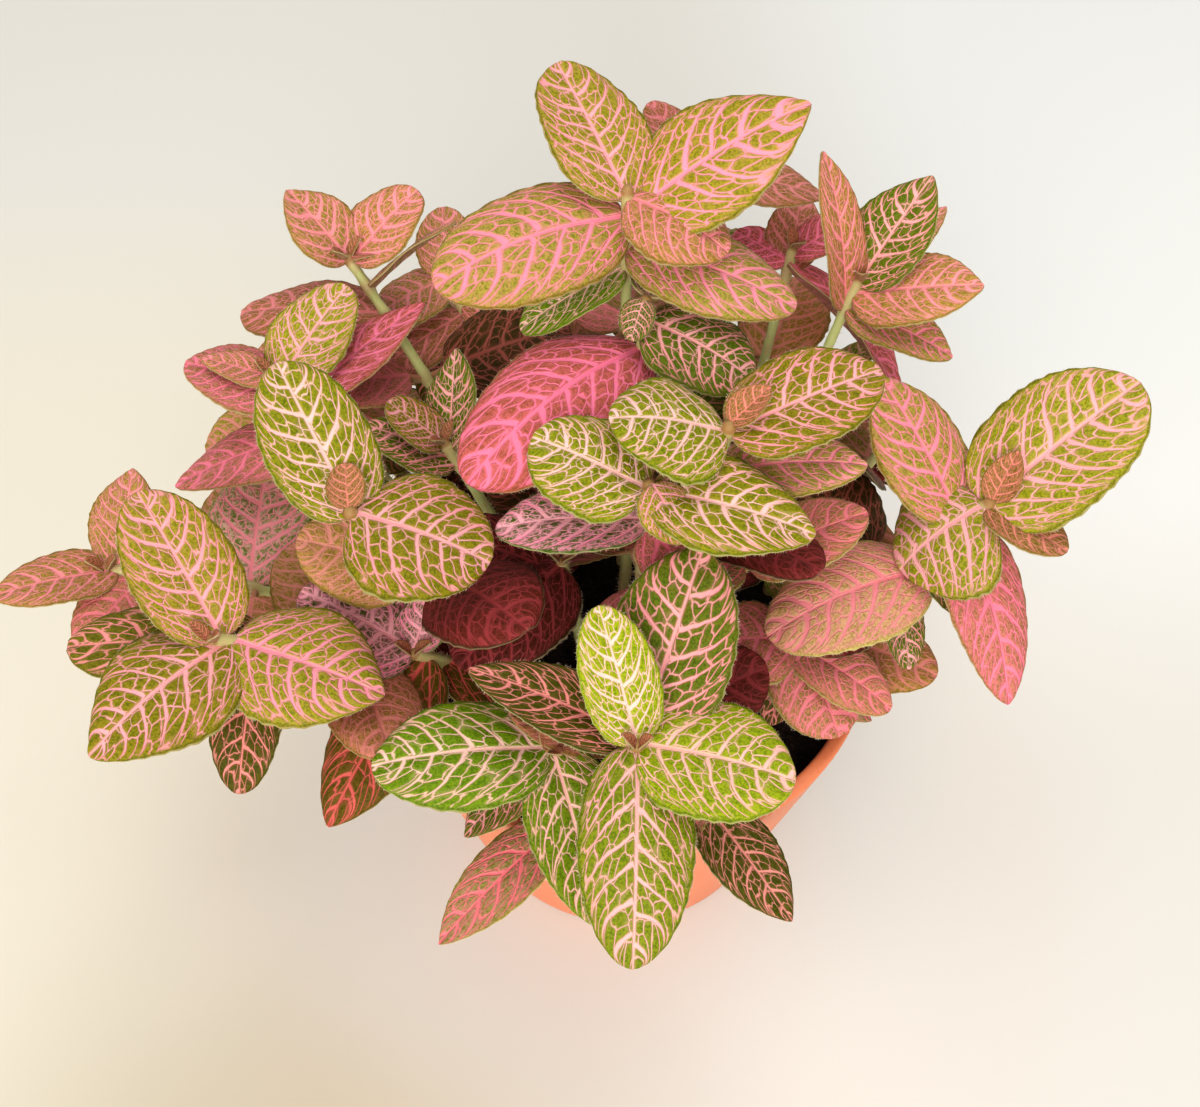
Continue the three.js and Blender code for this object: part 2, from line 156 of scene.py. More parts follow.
def connect(material, **outputs):
    """Links what an expression gives to the shader's sockets, named with _ for a space."""
    shader = material.node_tree.nodes["Principled BSDF"]
    for key, value in outputs.items():
        material.node_tree.links.new(value.socket, shader.inputs[key.replace("_", " ").title()])


def new_piece(name, points, faces):
    """A new object in the scene. Its points are in millimetres."""
    mesh = bpy.data.meshes.new(name)
    mesh.from_pydata((np.array(points, float) * MM).tolist(), [], faces)
    piece = bpy.data.objects.new(name, mesh)
    bpy.context.scene.collection.objects.link(piece)
    return piece


def rounded(profile, corner, radius, steps=5):
    """The profile with one of its corners replaced by an arc-like curve of this radius."""
    before, here, after = (Vector(profile[corner + k]) for k in (-1, 0, 1))
    start = here + (before - here).normalized() * radius
    end = here + (after - here).normalized() * radius
    curve = []
    for i in range(steps + 1):
        t = i / steps
        curve.append(tuple(start * (1 - t) ** 2 + here * 2 * t * (1 - t) + end * t ** 2))
    return profile[:corner] + curve + profile[corner + 1:]


def turned(name, profile, sides):
    """A closed body of revolution. The profile is (radius, height) in millimetres, from axis to axis."""
    rings = profile[1:-1]
    points = [(0, 0, profile[0][1]), (0, 0, profile[-1][1])]
    for radius, height in rings:
        for k in range(sides):
            angle = 2 * math.pi * k / sides
            points.append((radius * math.cos(angle), radius * math.sin(angle), height))

    def at(ring, k):
        return 2 + ring * sides + k % sides

    last = len(rings) - 1
    faces = []
    for k in range(sides):
        faces.append((0, at(0, k + 1), at(0, k)))
        faces.append((1, at(last, k), at(last, k + 1)))
        for ring in range(last):
            faces.append((at(ring, k), at(ring, k + 1), at(ring + 1, k + 1), at(ring + 1, k)))
    piece = new_piece(name, points, faces)
    piece.data.shade_smooth()
    return piece


def keep_on_root(piece, node):
    """The piece rides on the one body, and hides the CAD part of the node of the frame that it stands for."""
    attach(piece, "root")
    if node:
        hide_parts(node)


_, pot_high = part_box("pot")
pot_height = pot_high.z / MM
rim_radius = pot_high.x / MM
pot_slope = (rim_radius - POT_FOOT_RADIUS) / pot_height


def pot_radius(height):
    """The radius of the pot's outside at a height."""
    return POT_FOOT_RADIUS + pot_slope * height


pot_profile = [
    (0, 0),
    (POT_FOOT_RADIUS, 0),
    (rim_radius, pot_height),
    (rim_radius - LIP_THICKNESS, pot_height),
    (pot_radius(pot_height - LIP_HEIGHT) - POT_WALL, pot_height - LIP_HEIGHT),
    (pot_radius(POT_FLOOR) - POT_WALL, POT_FLOOR),
    (0, POT_FLOOR),
]
for corner, radius in ((5, FOOT_ROUND), (4, LIP_ROUND), (3, LIP_ROUND), (2, LIP_ROUND), (1, FOOT_ROUND)):
    pot_profile = rounded(pot_profile, corner, radius)
pot = turned("plastic_pot", pot_profile, POT_SIDES)

drill_profile = [
    (0, -POT_FLOOR),
    (DRAIN_RADIUS, -POT_FLOOR),
    (DRAIN_RADIUS, 2 * POT_FLOOR),
    (0, 2 * POT_FLOOR),
]
for hole in range(DRAIN_HOLES):
    angle = 2 * math.pi * hole / DRAIN_HOLES
    drill = turned("drain_cutter", drill_profile, DRAIN_SIDES)
    drill.location = Vector((math.cos(angle), math.sin(angle), 0)) * DRAIN_CIRCLE * MM
    cut = pot.modifiers.new("drain", "BOOLEAN")
    cut.operation = "DIFFERENCE"
    cut.object = drill
    bpy.context.view_layer.update()
    drilled = bpy.data.meshes.new_from_object(pot.evaluated_get(bpy.context.evaluated_depsgraph_get()))
    pot.modifiers.clear()
    pot.data = drilled
    bpy.data.objects.remove(drill)
pot.data.shade_smooth()
pot.data.set_sharp_from_angle(angle=math.radians(POT_SHARP_EDGE))

plastic, coords = new_finish("terracotta_plastic", {"Specular IOR Level": 0.5})
clouds = coords.grain(22.0, 3.0)
speckle = coords.grain(900.0, 2.0)
_, _, height = coords.parts()
# painted sheen: the upper wall paler in cloudy patches, as the satin plastic's sheen
painted_sheen = height.over(0.035, 0.064) * clouds.over(0.35, 0.75) * 0.6
colour = painted_sheen.paint(linear(TERRACOTTA), linear(TERRACOTTA_SHEEN))
colour = (speckle.over(0.62, 0.75) * 0.25).paint(colour, linear(TERRACOTTA_DARK))
relief = speckle.relief(0.25, 0.0002)
connect(plastic, base_color=colour, roughness=0.36 + clouds * 0.16, normal=relief)
pot.data.materials.append(plastic)
keep_on_root(pot, "pot")


# The soil: dark, damp peat that fills the pot to just under its lip, sunk a little at its edge. Its top is
# lumpy, with loose crumbs lying on it.
SOIL_TOP = 56.0
SOIL_CLEARANCE = 0.4
SOIL_RINGS = 46
SOIL_SIDES = 120
SOIL_SINK = 0.6
EDGE_SINK = 1.4
EDGE_START = 0.86
LUMP_HEIGHT = 0.9
LUMP_SPACING = 0.16
CRUMBS = 900
CRUMB_REACH = 0.97
CRUMB_RINGS = 4
CRUMB_SIDES = 7
CRUMB_SIZES = (0.35, 0.9)
LARGE_CRUMB = 1.8
LARGE_CRUMB_SHARE = 0.12
CRUMB_LIFT = 0.3
CRUMB_FLATNESS = 0.75
CRUMB_DENTS = (0.65, 1.15)
PEAT = "2e211a"
PEAT_DRY = "5b4433"
PEAT_WET = "140d0a"

soil_radius = pot_radius(SOIL_TOP) - POT_WALL - SOIL_CLEARANCE
soil_floor = POT_FLOOR + SOIL_CLEARANCE


def soil_height(x, y):
    """The height of the soil's surface at a place, in millimetres."""
    lumps = noise.fractal(Vector((x, y, 3.0)) * LUMP_SPACING, 1.0, 2.0, 4)
    edge = max(0.0, math.hypot(x, y) / soil_radius - EDGE_START) / (1 - EDGE_START)
    return SOIL_TOP - SOIL_SINK + LUMP_HEIGHT * lumps - EDGE_SINK * edge


soil_profile = [(0, soil_floor), (pot_radius(POT_FLOOR) - POT_WALL - 1, soil_floor)]
soil_profile += [(soil_radius * (SOIL_RINGS - k) / SOIL_RINGS, SOIL_TOP) for k in range(SOIL_RINGS)]
soil_profile.append((0, SOIL_TOP))
soil = turned("potting_soil", soil_profile, SOIL_SIDES)
for vertex in soil.data.vertices:
    if vertex.co.z > (SOIL_TOP - 1) * MM:
        vertex.co.z = soil_height(vertex.co.x / MM, vertex.co.y / MM) * MM


def crumb_corner(first, ring, k):
    """The number of a point on a ring between the poles of the crumb whose first point this is."""
    return first + 1 + (ring - 1) * CRUMB_SIDES + k % CRUMB_SIDES


dice = random.Random(11)
crumb_points = []
crumb_faces = []
for crumb in range(CRUMBS):
    reach = soil_radius * math.sqrt(dice.random()) * CRUMB_REACH
    angle = dice.uniform(0, 2 * math.pi)
    x = reach * math.cos(angle)
    y = reach * math.sin(angle)
    size = dice.uniform(*CRUMB_SIZES) * (LARGE_CRUMB if dice.random() < LARGE_CRUMB_SHARE else 1.0)
    centre = Vector((x, y, soil_height(x, y) + CRUMB_LIFT * size))
    first = len(crumb_points)
    for ring in range(CRUMB_RINGS + 1):
        polar = math.pi * ring / CRUMB_RINGS
        level = CRUMB_FLATNESS * math.cos(polar)
        for k in range(CRUMB_SIDES if 0 < ring < CRUMB_RINGS else 1):
            around = 2 * math.pi * k / CRUMB_SIDES + ring
            out = Vector((math.sin(polar) * math.cos(around), math.sin(polar) * math.sin(around), level))
            crumb_points.append(centre + out * size * dice.uniform(*CRUMB_DENTS))
    last = len(crumb_points) - 1
    for k in range(CRUMB_SIDES):
        top = [crumb_corner(first, 1, k + step) for step in (0, 1)]
        bottom = [crumb_corner(first, CRUMB_RINGS - 1, k + step) for step in (1, 0)]
        crumb_faces += [(first, *top), (last, *bottom)]
        for ring in range(1, CRUMB_RINGS - 1):
            near = [crumb_corner(first, ring + step, k) for step in (0, 1)]
            far = [crumb_corner(first, ring + step, k + 1) for step in (1, 0)]
            crumb_faces.append((*near, *far))
crumbs = new_piece("soil_crumbs", crumb_points, crumb_faces)

peat, coords = new_finish("damp_peat", {"Specular IOR Level": 0.3})
coarse = coords.grain(260.0, 4.0, 0.65)
fine = coords.grain(1500.0, 3.0, 0.7)
colour = coarse.over(0.42, 0.62).paint(linear(PEAT_WET), linear(PEAT))
colour = (fine.over(0.55, 0.72) * 0.7).paint(colour, linear(PEAT_DRY))
relief = (coarse + fine * 0.5).relief(0.9, 0.0012)
connect(peat, base_color=colour, roughness=0.75 + fine * 0.25, normal=relief)
for piece, node in ((soil, "soil"), (crumbs, None)):
    piece.data.materials.append(peat)
    keep_on_root(piece, node)


# The leafy stems: soft upright or arching shoots, each with pairs of veined leaves set crosswise and a bud of
# tiny leaves at its tip. A shoot grew as one piece, so its stem and its leaves are one mesh.
STEM_BOW = 0.12
STEM_SIDES = 14
STEM_STEP = 1.3
STEM_RADIUS = 1.2
STEM_TAPER = 0.4
STEM_RIPPLE = 0.04
ROOT_HEIGHTS = (-12, -6, -2)
KNOT_SWELLING = 0.32
KNOT_LENGTH = 1.3
WITHOUT_BUD = ("crown", "centre", "centre_right", "left", "right", "under_crown")

# Where each shoot stands, where its tip is, and its young leaves. A leaf is how far below the tip it grows,
# its bearing and rise, length and width, roll, cup and droop, and its colouring.
STEMS = [
    ("crown", (0, 19), (0, 37.5, 130), [
        (2, 330, 25, 26, 18, 5, 0.12, 20, "olive_salmon"),
        (5, 74, 28, 33, 22, 15, -0.08, 25, "olive_pink"),
        (5, 246, -5, 33, 21, -18, -0.2, 42, "pink_olive"),
        (2, 118, -12, 18, 18, 0, -0.15, 40, "salmon"),
        (10, 111, -10, 29, 17, 8, -0.15, 35, "pink_olive"),
        (14, 253, -24, 20, 12, 0, 0.1, 20, "green_pale"),
    ]),
    ("centre_right", (9, 4), (15, -1, 116), [
        (2, 72, 12, 25, 18, 5, 0.05, 20, "lime_pink"),
        (2, 264, 14, 18, 21, 0, -0.15, 45, "lime_pale"),
        (0, 55, 28, 8, 6, 0, 0.4, 10, "bud"),
        (12, 94, 10, 23, 15, 0, 0, 30, "pink_olive"),
    ]),
    ("centre", (2, -4), (3, -9, 112), [
        (2, 292, 12, 19, 20, 0, -0.05, 25, "lime_pale"),
        (2, 104, -4, 25, 19, 0, 0.05, 25, "lime_pale"),
        (0, 145, -28, 10, 9, 0, -0.1, 20, "olive_salmon"),
        (10, 267, 0, 23, 13, 0, 0, 30, "variegated"),
        (12, 135, -25, 15, 13, 0, 0, 30, "pink"),
    ]),
    ("left", (-20, -3), (-42, -11, 108), [
        (2, 325, 32, 26, 17, 0, 0.05, 15, "lime_pale"),
        (1, 108, -12, 21.5, 24, 0, -0.1, 40, "lime_pink"),
        (0, 350, 31, 7, 6, 0, 0.4, 10, "bud"),
    ]),
    ("front_left_outer", (-26, -10), (-64, -24, 93), [
        (2, 325, 32, 26, 16.5, 0, 0.1, 20, "olive_salmon"),
        (3.5, 110, -8, 25, 22, 0, -0.12, 35, "olive_pink"),
        (3.5, 224, -2, 26, 22, 0, -0.1, 35, "lime_pink"),
        (9, 266, 2, 30, 16, 0, 0, 25, "olive_net"),
        (8, 186, -30, 23, 12, 0, 0.1, 25, "dark_green"),
    ]),
    ("right", (27, 0), (58, -2, 99), [
        (2, 66, 40, 30, 24, 0, 0.06, 15, "olive_salmon"),
        (1, 250, -42, 17, 24, 0, -0.25, 60, "olive_salmon"),
        (1, 132, 2, 14, 10, 0, 0.1, 20, "bud"),
        (0, 34, 45, 9, 6, 0, 0.4, 10, "bud"),
        (6, 327, 28, 27, 17, 0, -0.1, 25, "pink_olive"),
        (6, 157, -25, 31, 14, 0, -0.1, 30, "pink"),
        (10, 155, -32, 15, 12, 0, 0, 25, "dark_green"),
    ]),
    ("front", (3, -19), (1, -42, 92), [
        (1, 340, 42, 21, 12, 0, 0.1, 10, "bright_lime"),
        (2, 105, 5, 23, 20, 0, -0.05, 25, "lime_white"),
        (2, 181, -20, 31, 17, 0, -0.08, 35, "fresh_pink"),
        (6, 25, 36, 30, 20, 0, 0.05, 15, "green_pink"),
        (5, 289, 18, 27, 12, 0, 0.1, 20, "dark_green"),
    ]),
    ("front_left", (-8, -21), (-12, -37, 82), [
        (1, 262, 6, 27, 19, 0, -0.08, 30, "green_pale"),
        (1, 161, -20, 27, 15, 0, 0.2, 25, "green_pale"),
        (7, 228, -14, 20, 10, 0, 0, 30, "green_pink"),
    ]),
    ("under_crown", (0, 8), (3, 26, 117), [
        (0, 352, -20, 12, 10, 0, 0.3, 10, "green_pink"),
        (0, 205, -35, 7, 6, 0, 0.3, 10, "green_pink"),
        (4, 116, -12, 20, 17, 5, -0.1, 30, "green_pink"),
        (9, 226, -12, 38, 23, -8, -0.25, 55, "bright_pink"),
    ]),
    ("upper_left", (-24, 10), (-61, 26, 100), [
        (2, 38, 28, 20, 16, 0, 0.05, 15, "olive_salmon"),
        (1, 266, 26, 12, 8, 0, 0.1, 10, "salmon"),
        (6, 275, 22, 19, 15, 0, 0, 25, "pink"),
        (7, 57, 20, 27, 14, -10, 0, 25, "bright_pink"),
        (14, 246, -5, 28, 14, 0, -0.1, 30, "pink"),
    ]),
    ("far_left", (-30, 0), (-89, -1, 80), [
        (2, 4, 24, 18, 12, 0, 0.2, 15, "salmon"),
        (2, 245, 12, 20, 12, 0, 0.1, 25, "salmon"),
        (7, 207, 0, 18, 14, 0, 0, 30, "blush"),
        (6, 120, -15, 15, 12, 0, 0, 30, "variegated"),
        (24, 4, 22, 24, 19, 0, -0.05, 30, "speckled"),
    ]),
    ("back_right", (20, 13), (41, 42, 108), [
        (2, 48, 44, 22, 15, 0, 0.1, 10, "green_pink"),
        (3.5, 108, 18, 22, 17, 10, 0, 20, "salmon"),
        (6, 350, 46, 27, 11, 20, 0.2, 40, "salmon"),
        (6, 44, 24, 27, 9, 0, 0.1, 20, "salmon"),
        (6, 116, -10, 20, 13, 0, 0.1, 25, "pink_olive"),
    ]),
    ("back_left", (-15, 14), (-49, 47, 108), [
        (1, 306, 38, 16, 13, 0, 0.15, 15, "salmon"),
        (1, 50, 28, 17, 15, 0, 0.1, 20, "salmon"),
        (0, 75, 15, 10, 6, 0, 0.4, 10, "salmon_brown"),
        (6, 62, 24, 19, 10, -40, 0.1, 20, "salmon"),
        (12, 264, 6, 28, 17, 0, -0.1, 30, "salmon_brown"),
    ]),
    ("right_low", (22, -7), (51, -5, 86), [
        (1, 251, -9, 29, 19, -5, -0.15, 45, "salmon_pink"),
        (7, 172, -30, 14, 7, 0, 0, 25, "green_pink"),
    ]),
    ("back_crown", (10, 26), (14, 68, 112), [
        (1, 300, 42, 15, 12, 0, 0.1, 20, "salmon_brown"),
        (2, 103, -2, 23, 14, 0, 0, 30, "salmon_brown"),
    ]),
    ("back_inner_right", (19, 22), (32, 60, 100), [
        (2, 72, 26, 15, 10, 0, 0.1, 20, "bright_pink"),
        (5, 14, 35, 17, 11, 0, 0.1, 20, "salmon_brown"),
        (3.5, 306, 15, 12, 11, 0, 0, 20, "bright_pink"),
        (3.5, 135, -26, 33, 17, -35, 0.35, 25, "bright_pink"),
    ]),
    ("back_inner_left", (-11, 24), (-33, 54, 98), [
        (1, 245, -12, 15, 14, 0, -0.1, 30, "salmon"),
        (1, 350, 30, 14, 11, 0, 0.1, 15, "salmon"),
        (6, 101, -15, 20, 13, 0, -0.2, 50, "salmon_brown"),
        (8, 208, -35, 18, 12, 0, 0, 30, "dark_green"),
        (8, 236, -18, 24, 13, 0, 0, 30, "salmon_brown"),
    ]),
    ("inner_left", (-13, 4), (-31, 15, 95), [
        (2, 5, 42, 17, 13, -40, 0.1, 15, "green_pink"),
        (1, 290, 35, 12, 9, 0, 0.1, 15, "lime_pink"),
        (5, 282, 24, 17, 12, 0, 0.05, 20, "green_pink"),
    ]),
    ("front_right", (15, -14), (29.5, -12.5, 76), [
        (1, 287, 4, 16, 17, 0, -0.1, 35, "blush"),
        (1, 156, -24, 17, 17, 0, -0.1, 35, "blush"),
        (2, 124, -8, 19, 12, 0, 0, 30, "blush"),
        (2, 196, -30, 14, 10, 0, 0, 25, "dark_green"),
        (5, 134, -12, 21, 9, 0, 0, 25, "sage_pink"),
    ]),
    ("left_low", (-17, -12), (-35, -18, 80), [
        (1, 290, 26, 21, 19, 0, -0.05, 25, "variegated"),
        (0, 20, 30, 10, 9, 0, 0.2, 15, "variegated"),
        (3.5, 210, -18, 31, 17, 0, -0.1, 35, "red_veined"),
        (7, 112, -14, 24, 14, 0, 0, 30, "red_veined"),
    ]),
    # this shoot's leaves lie deep in the mound, and their dark colouring is painted shade
    ("inner_front", (-6, -9), (-11, -2, 84), [
        (1, 236, -14, 24, 20, 0, -0.1, 40, "dusk_shade"),
        (3.5, 273, 11, 21, 16, 0, 0, 30, "dusk_shade"),
    ]),
    ("inner_right", (12, -4), (20, -5, 88), [
        (1, 266, 2, 15, 12, 0, 0, 25, "sage_pink"),
        (1, 80, 24, 21, 14, 0, 0, 25, "blush"),
    ]),
    ("front_trailing_left", (-4, -29), (-11, -43, 68), [
        (1, 226, -10, 26, 11, 0, 0.1, 25, "sage_pink"),
        (1, 130, -20, 14, 10, 0, 0, 25, "sage_pink"),
    ]),
    ("front_trailing_right", (12, -24), (12, -39, 68), [
        (1, 145, -14, 23, 12, 0, -0.05, 30, "dark_green"),
        (0, 222, -25, 8, 6, 0, 0.2, 20, "sage_pink"),
    ]),
    ("back_low", (0, 27), (0, 62, 76), []),
    ("back_right_low", (28, 12), (52, 34, 76), []),
    ("back_left_low", (-22, 19), (-66, 42, 78), []),
    ("back_far", (-6, 30), (-15, 70, 85), []),
    ("back_trailing_right", (25, 21), (42, 50, 72), []),
    ("back_trailing_left", (-19, 23), (-38, 55, 72), []),
]

# The leaves whose tips are sharp, by their places in each shoot's list. The others have round tips.
SHARP = {
    "crown": (1,),
    "front_left_outer": (1, 2),
    "front": (4,),
    "front_left": (1, 2),
    "front_trailing_left": (0, 1),
    "front_trailing_right": (0, 1),
    "back_right": (0, 1, 2, 3, 4),
    "far_left": (0, 1, 2, 4),
    "right": (3, 4, 5, 6),
    "back_crown": (1,),
    "back_inner_right": (0, 1, 3),
    "upper_left": (1, 3, 4),
    "back_left": (0, 3),
    "centre": (1,),
    "inner_left": (0, 2),
    "left_low": (1, 2, 3),
    "front_right": (3, 4),
    "centre_right": (2, 3),
}
ROUND_TIP = 0.54
SHARP_TIP = 0.82
SMALL_LENGTH = 18
TINY_LENGTH = 6
STALK_SHARE = 0.08
OLD_STALK_SHARE = 0.15

# The older pairs: where the first and last grow, the depths at which leaves are full-grown and hang low, and
# how long and how raised they are at first and then.
FIRST_OLD_PAIR = 25
LAST_OLD_PAIR = 12
GROWN_BELOW = 11
LOW_BELOW = 20
OLD_LENGTHS = (10, 26)
OLD_RISES = (20, -10)
DRAW_START = 2027
DRAW_FACTOR = 16807
DRAW_CYCLE = 2 ** 31 - 1

# How the CAD model's leaves lie: where along them they have corners, how high those are, and the bends and
# sizes that were tried for a leaf in another's way.
CAD_LARGE_STATIONS = (0.3, 0.6, 0.87)
CAD_SMALL_STATIONS = (0.42, 0.8)
CAD_OLD_STATIONS = (0.45, 0.8)
CAD_HALF_THICKNESS = 0.35
CAD_OUTLINE = (0.56, 0.66, 1.0)
BEND_WAYS = ((0, 1), (0, -1), (1, 0), (-1, 0), (1, 1), (-1, 1), (1, -1), (-1, -1))
BEND_SIZES = (7, 14, 21, 28, 36)
BENDS = [(0, 0)] + [(turn * size, tilt * size) for size in BEND_SIZES for turn, tilt in BEND_WAYS]
SHRINKS = (1, 0.8, 0.62)
SAME_PLACE = 0.05


class Leaf:
    """One leaf as it grows from its stem, in millimetres and degrees."""

    def __init__(self, below, bearing, rise, length, width, roll, cup, droop, tone, old=False):
        self.below = below
        self.bearing = bearing
        self.rise = rise
        self.length = length
        self.width = width
        self.roll = roll
        self.cup = cup
        self.droop = droop
        self.tone = tone
        self.old = old
        self.point = ROUND_TIP
        self.stalk = OLD_STALK_SHARE if old else STALK_SHARE
        self.stations = CAD_SMALL_STATIONS if length < SMALL_LENGTH else CAD_LARGE_STATIONS
        if old:
            self.stations = CAD_OLD_STATIONS

    def moved(self, turn, tilt, shrink):
        """The same leaf turned, tilted and shrunk."""
        other = copy.copy(self)
        other.bearing += turn
        other.rise += tilt
        other.length *= shrink
        other.width *= shrink
        return other

    def surface(self, along, across, up):
        """Places on the leaf, at shares of its length, distances to its right and heights off its face."""
        along, across, up = (np.asarray(a, float) for a in np.broadcast_arrays(along, across, up))
        bend = math.radians(self.droop)
        start = math.radians(self.rise) + bend / 2
        now = start - bend * along
        radius = self.length / (2 * math.sin(bend / 2))
        out = radius * (math.sin(start) - np.sin(now)) + 0.5
        height = radius * (np.cos(now) - math.cos(start))
        bearing = math.radians(self.bearing)
        roll = math.radians(self.roll)
        ahead = np.array([math.sin(bearing), math.cos(bearing), 0])
        right = np.array([math.cos(bearing), -math.sin(bearing), 0])
        rise = np.array([0, 0, 1.0])
        normal = -np.sin(now)[..., None] * ahead + np.cos(now)[..., None] * rise
        side = right * math.cos(roll) - normal * math.sin(roll)
        face = normal * math.cos(roll) + right * math.sin(roll)
        lift = self.cup * np.abs(across) ** 1.5 / math.sqrt(self.width / 2)
        return (self.base + out[..., None] * ahead + height[..., None] * rise
                + across[..., None] * side + (lift + up)[..., None] * face)


def blade_outline(share, fullness, point, bulge):
    """Half a blade's width, as a share of its greatest, from its base to its tip."""

    def shape(v):
        return v ** fullness * (1 - v ** bulge) ** point

    widest = (fullness / (fullness + point * bulge)) ** (1 / bulge)
    return shape(share) / shape(widest)


def stem_path(root, tip):
    """The stem's centre line above the soil, as a function from a share of its length, and its length."""
    foot = np.array([*root, SOIL_TOP + 1.0])
    end = np.array(tip, float)
    middle = (foot + end) / 2
    middle[2] += STEM_BOW * math.hypot(end[0] - foot[0], end[1] - foot[1])

    def at(t):
        return (1 - t)[:, None] ** 2 * foot + (2 * t * (1 - t))[:, None] * middle + t[:, None] ** 2 * end

    steps = np.linspace(0, 1, 201)
    lengths = np.concatenate([[0], np.cumsum(np.linalg.norm(np.diff(at(steps), axis=0), axis=1))])

    def place(share):
        return at(np.interp(np.asarray(share, float) * lengths[-1], lengths, steps))

    return place, lengths[-1]


def seeded_draws():
    """Draws between 0 and 1, the same as the CAD model's."""
    state = DRAW_START
    while True:
        state = state * DRAW_FACTOR % DRAW_CYCLE
        yield state / DRAW_CYCLE


draws = seeded_draws()


def draw(low, high):
    """The next seeded draw, from a range."""
    return low + (high - low) * next(draws)


def between(ends, share):
    """The value at this share of the way from one end to the other."""
    return ends[0] + (ends[1] - ends[0]) * share


def old_leaves(length, named):
    """The older pairs of a stem, larger and lower the further they are below its tip."""
    leaves = []
    quarter = draw(0, 360)
    below = FIRST_OLD_PAIR if named else 1
    while below < length - LAST_OLD_PAIR:
        grown = min(below / GROWN_BELOW, 1)
        lowered = min(below / LOW_BELOW, 1)
        for half in (0, 180):
            size = between(OLD_LENGTHS, grown) * draw(0.85, 1.1)
            bearing = quarter + half + draw(-20, 20)
            rise = between(OLD_RISES, lowered) + draw(0, 25)
            width = size * draw(0.66, 0.76)
            roll = draw(-15, 15)
            cup = draw(-0.15, 0.1)
            droop = draw(20, 40)
            leaves.append(Leaf(below, bearing, rise, size, width, roll, cup, droop, None, old=True))
        quarter += 90
        below += min(below + 8, 22)
    return leaves


def settled(leaf, solid):
    """The leaf as it lies in the CAD model, where some are bent clear of their neighbours or left out."""
    for shrink in SHRINKS:
        for turn, tilt in BENDS:
            other = leaf.moved(turn, tilt, shrink)
            if solid.find(other.surface(1, 0, 0))[2] > SAME_PLACE:
                continue
            found = 0
            for station in other.stations:
                share = (station - other.stalk) / (1 - other.stalk)
                half = other.width / 2 * blade_outline(share, *CAD_OUTLINE)
                for side in (-half, half):
                    found += solid.find(other.surface(station, side, CAD_HALF_THICKNESS))[2] < SAME_PLACE
            if found > len(other.stations) / 2:
                return other
    return None


# A colouring is the green or brown of a blade's cells, the flush beside its veins, its veins and its margin,
# then how wide its veins are, how speckled its cells and how pale its veins at the midrib.
TONES = {
    "lime_pale": ("949418", "a89c30", "fdbcba", "6f7a12", 0.9, 0.0, 0.25),
    "lime_pink": ("948e18", "a89234", "fba8b0", "747410", 0.9, 0.1, 0.15),
    "olive_salmon": ("a69e26", "c0a258", "fba8b2", "7c7818", 0.95, 0.1, 0.1),
    "olive_pink": ("a29624", "bc9852", "fa9aae", "7e7618", 0.95, 0.15, 0.0),
    "pink_olive": ("a89c3e", "ce9672", "f894a8", "867022", 0.95, 0.3, 0.0),
    "salmon": ("b49248", "d49676", "f89ca2", "8c7430", 1.0, 0.3, 0.0),
    "salmon_brown": ("a87a4a", "be7e68", "e48e8e", "8f7040", 1.05, 0.5, 0.0),
    "pink": ("bc8068", "d87f7e", "f4869c", "9a7844", 1.0, 0.4, 0.0),
    "blush": ("b88c62", "d88874", "f08a94", "988444", 1.15, 0.5, 0.0),
    "bright_pink": ("c06a5e", "dc7678", "f888a6", "a8744c", 1.0, 0.3, 0.0),
    # the next colouring, a dark maroon, paints the shade deep inside the mound onto a leaf
    "dusk_shade": ("6a2c20", "7c3432", "aa484c", "4a321e", 1.1, 0.5, 0.0),
    "bright_lime": ("a0b214", "b0b432", "fdcabc", "8aa01c", 1.0, 0.0, 0.2),
    "lime_white": ("a0b01a", "a8ae30", "fdc0b4", "728814", 0.85, 0.0, 0.15),
    "fresh_pink": ("8c9418", "9c9434", "fdb0b2", "6f7c14", 0.85, 0.0, 0.15),
    "green_pale": ("7a9418", "869424", "fdc2b6", "687c18", 0.75, 0.0, 0.2),
    "green_pink": ("687a16", "847a2e", "f8a2a6", "687020", 0.9, 0.1, 0.15),
    "olive_net": ("7a7216", "8c7c30", "f49a98", "66661a", 0.9, 0.1, 0.0),
    "dark_green": ("585806", "74602a", "ee9a92", "4a5416", 0.8, 0.1, 0.0),
    "red_veined": ("6c5c12", "8c5c30", "e06c66", "64581a", 0.8, 0.1, 0.0),
    "dark_brown": ("503c10", "744830", "d4746c", "50441a", 0.8, 0.2, 0.0),
    "variegated": ("5c6a1c", "e49caa", "f890ac", "526c24", 1.2, 0.8, 0.3),
    "speckled": ("88904a", "e0b2a4", "fa94a4", "8a9444", 1.2, 0.9, 0.1),
    "sage_pink": ("988c4c", "c88a80", "f48088", "9a903c", 0.9, 0.4, 0.0),
    "salmon_pink": ("dca87c", "eeaa96", "f6909a", "c8b462", 1.1, 0.3, 0.0),
    "bud": ("9a783c", "c08662", "e49080", "867030", 0.9, 0.2, 0.0),
}

# The colourings of the older leaves: darker inside the mound, as painted shade, and brighter where its
# outside is in the light.
SHADED_OLD_TONES = (
    "dusk_shade", "dusk_shade", "dusk_shade", "pink", "pink", "dark_brown", "dark_brown", "salmon_brown", "green_pink",
)
LIT_TONES = (
    "pink_olive", "salmon", "pink", "green_pink", "olive_pink",
    "salmon_brown", "salmon", "dusk_shade", "green_pink",
)
LIT_BEYOND = 45
LIT_SHOOTS = ("front_right", "inner_right", "right_low")

# What each point of a shoot's mesh is marked with, as how many numbers, and how such a mark is kept.
MARKS = {"place": 3, "habit": 3, "kind": 3, "vein_step": 1, "cell": 4, "glow": 4, "vein": 4, "margin": 4}
MARK_FORMS = {1: ("FLOAT", "value"), 3: ("FLOAT_VECTOR", "vector"), 4: ("FLOAT_COLOR", "color")}

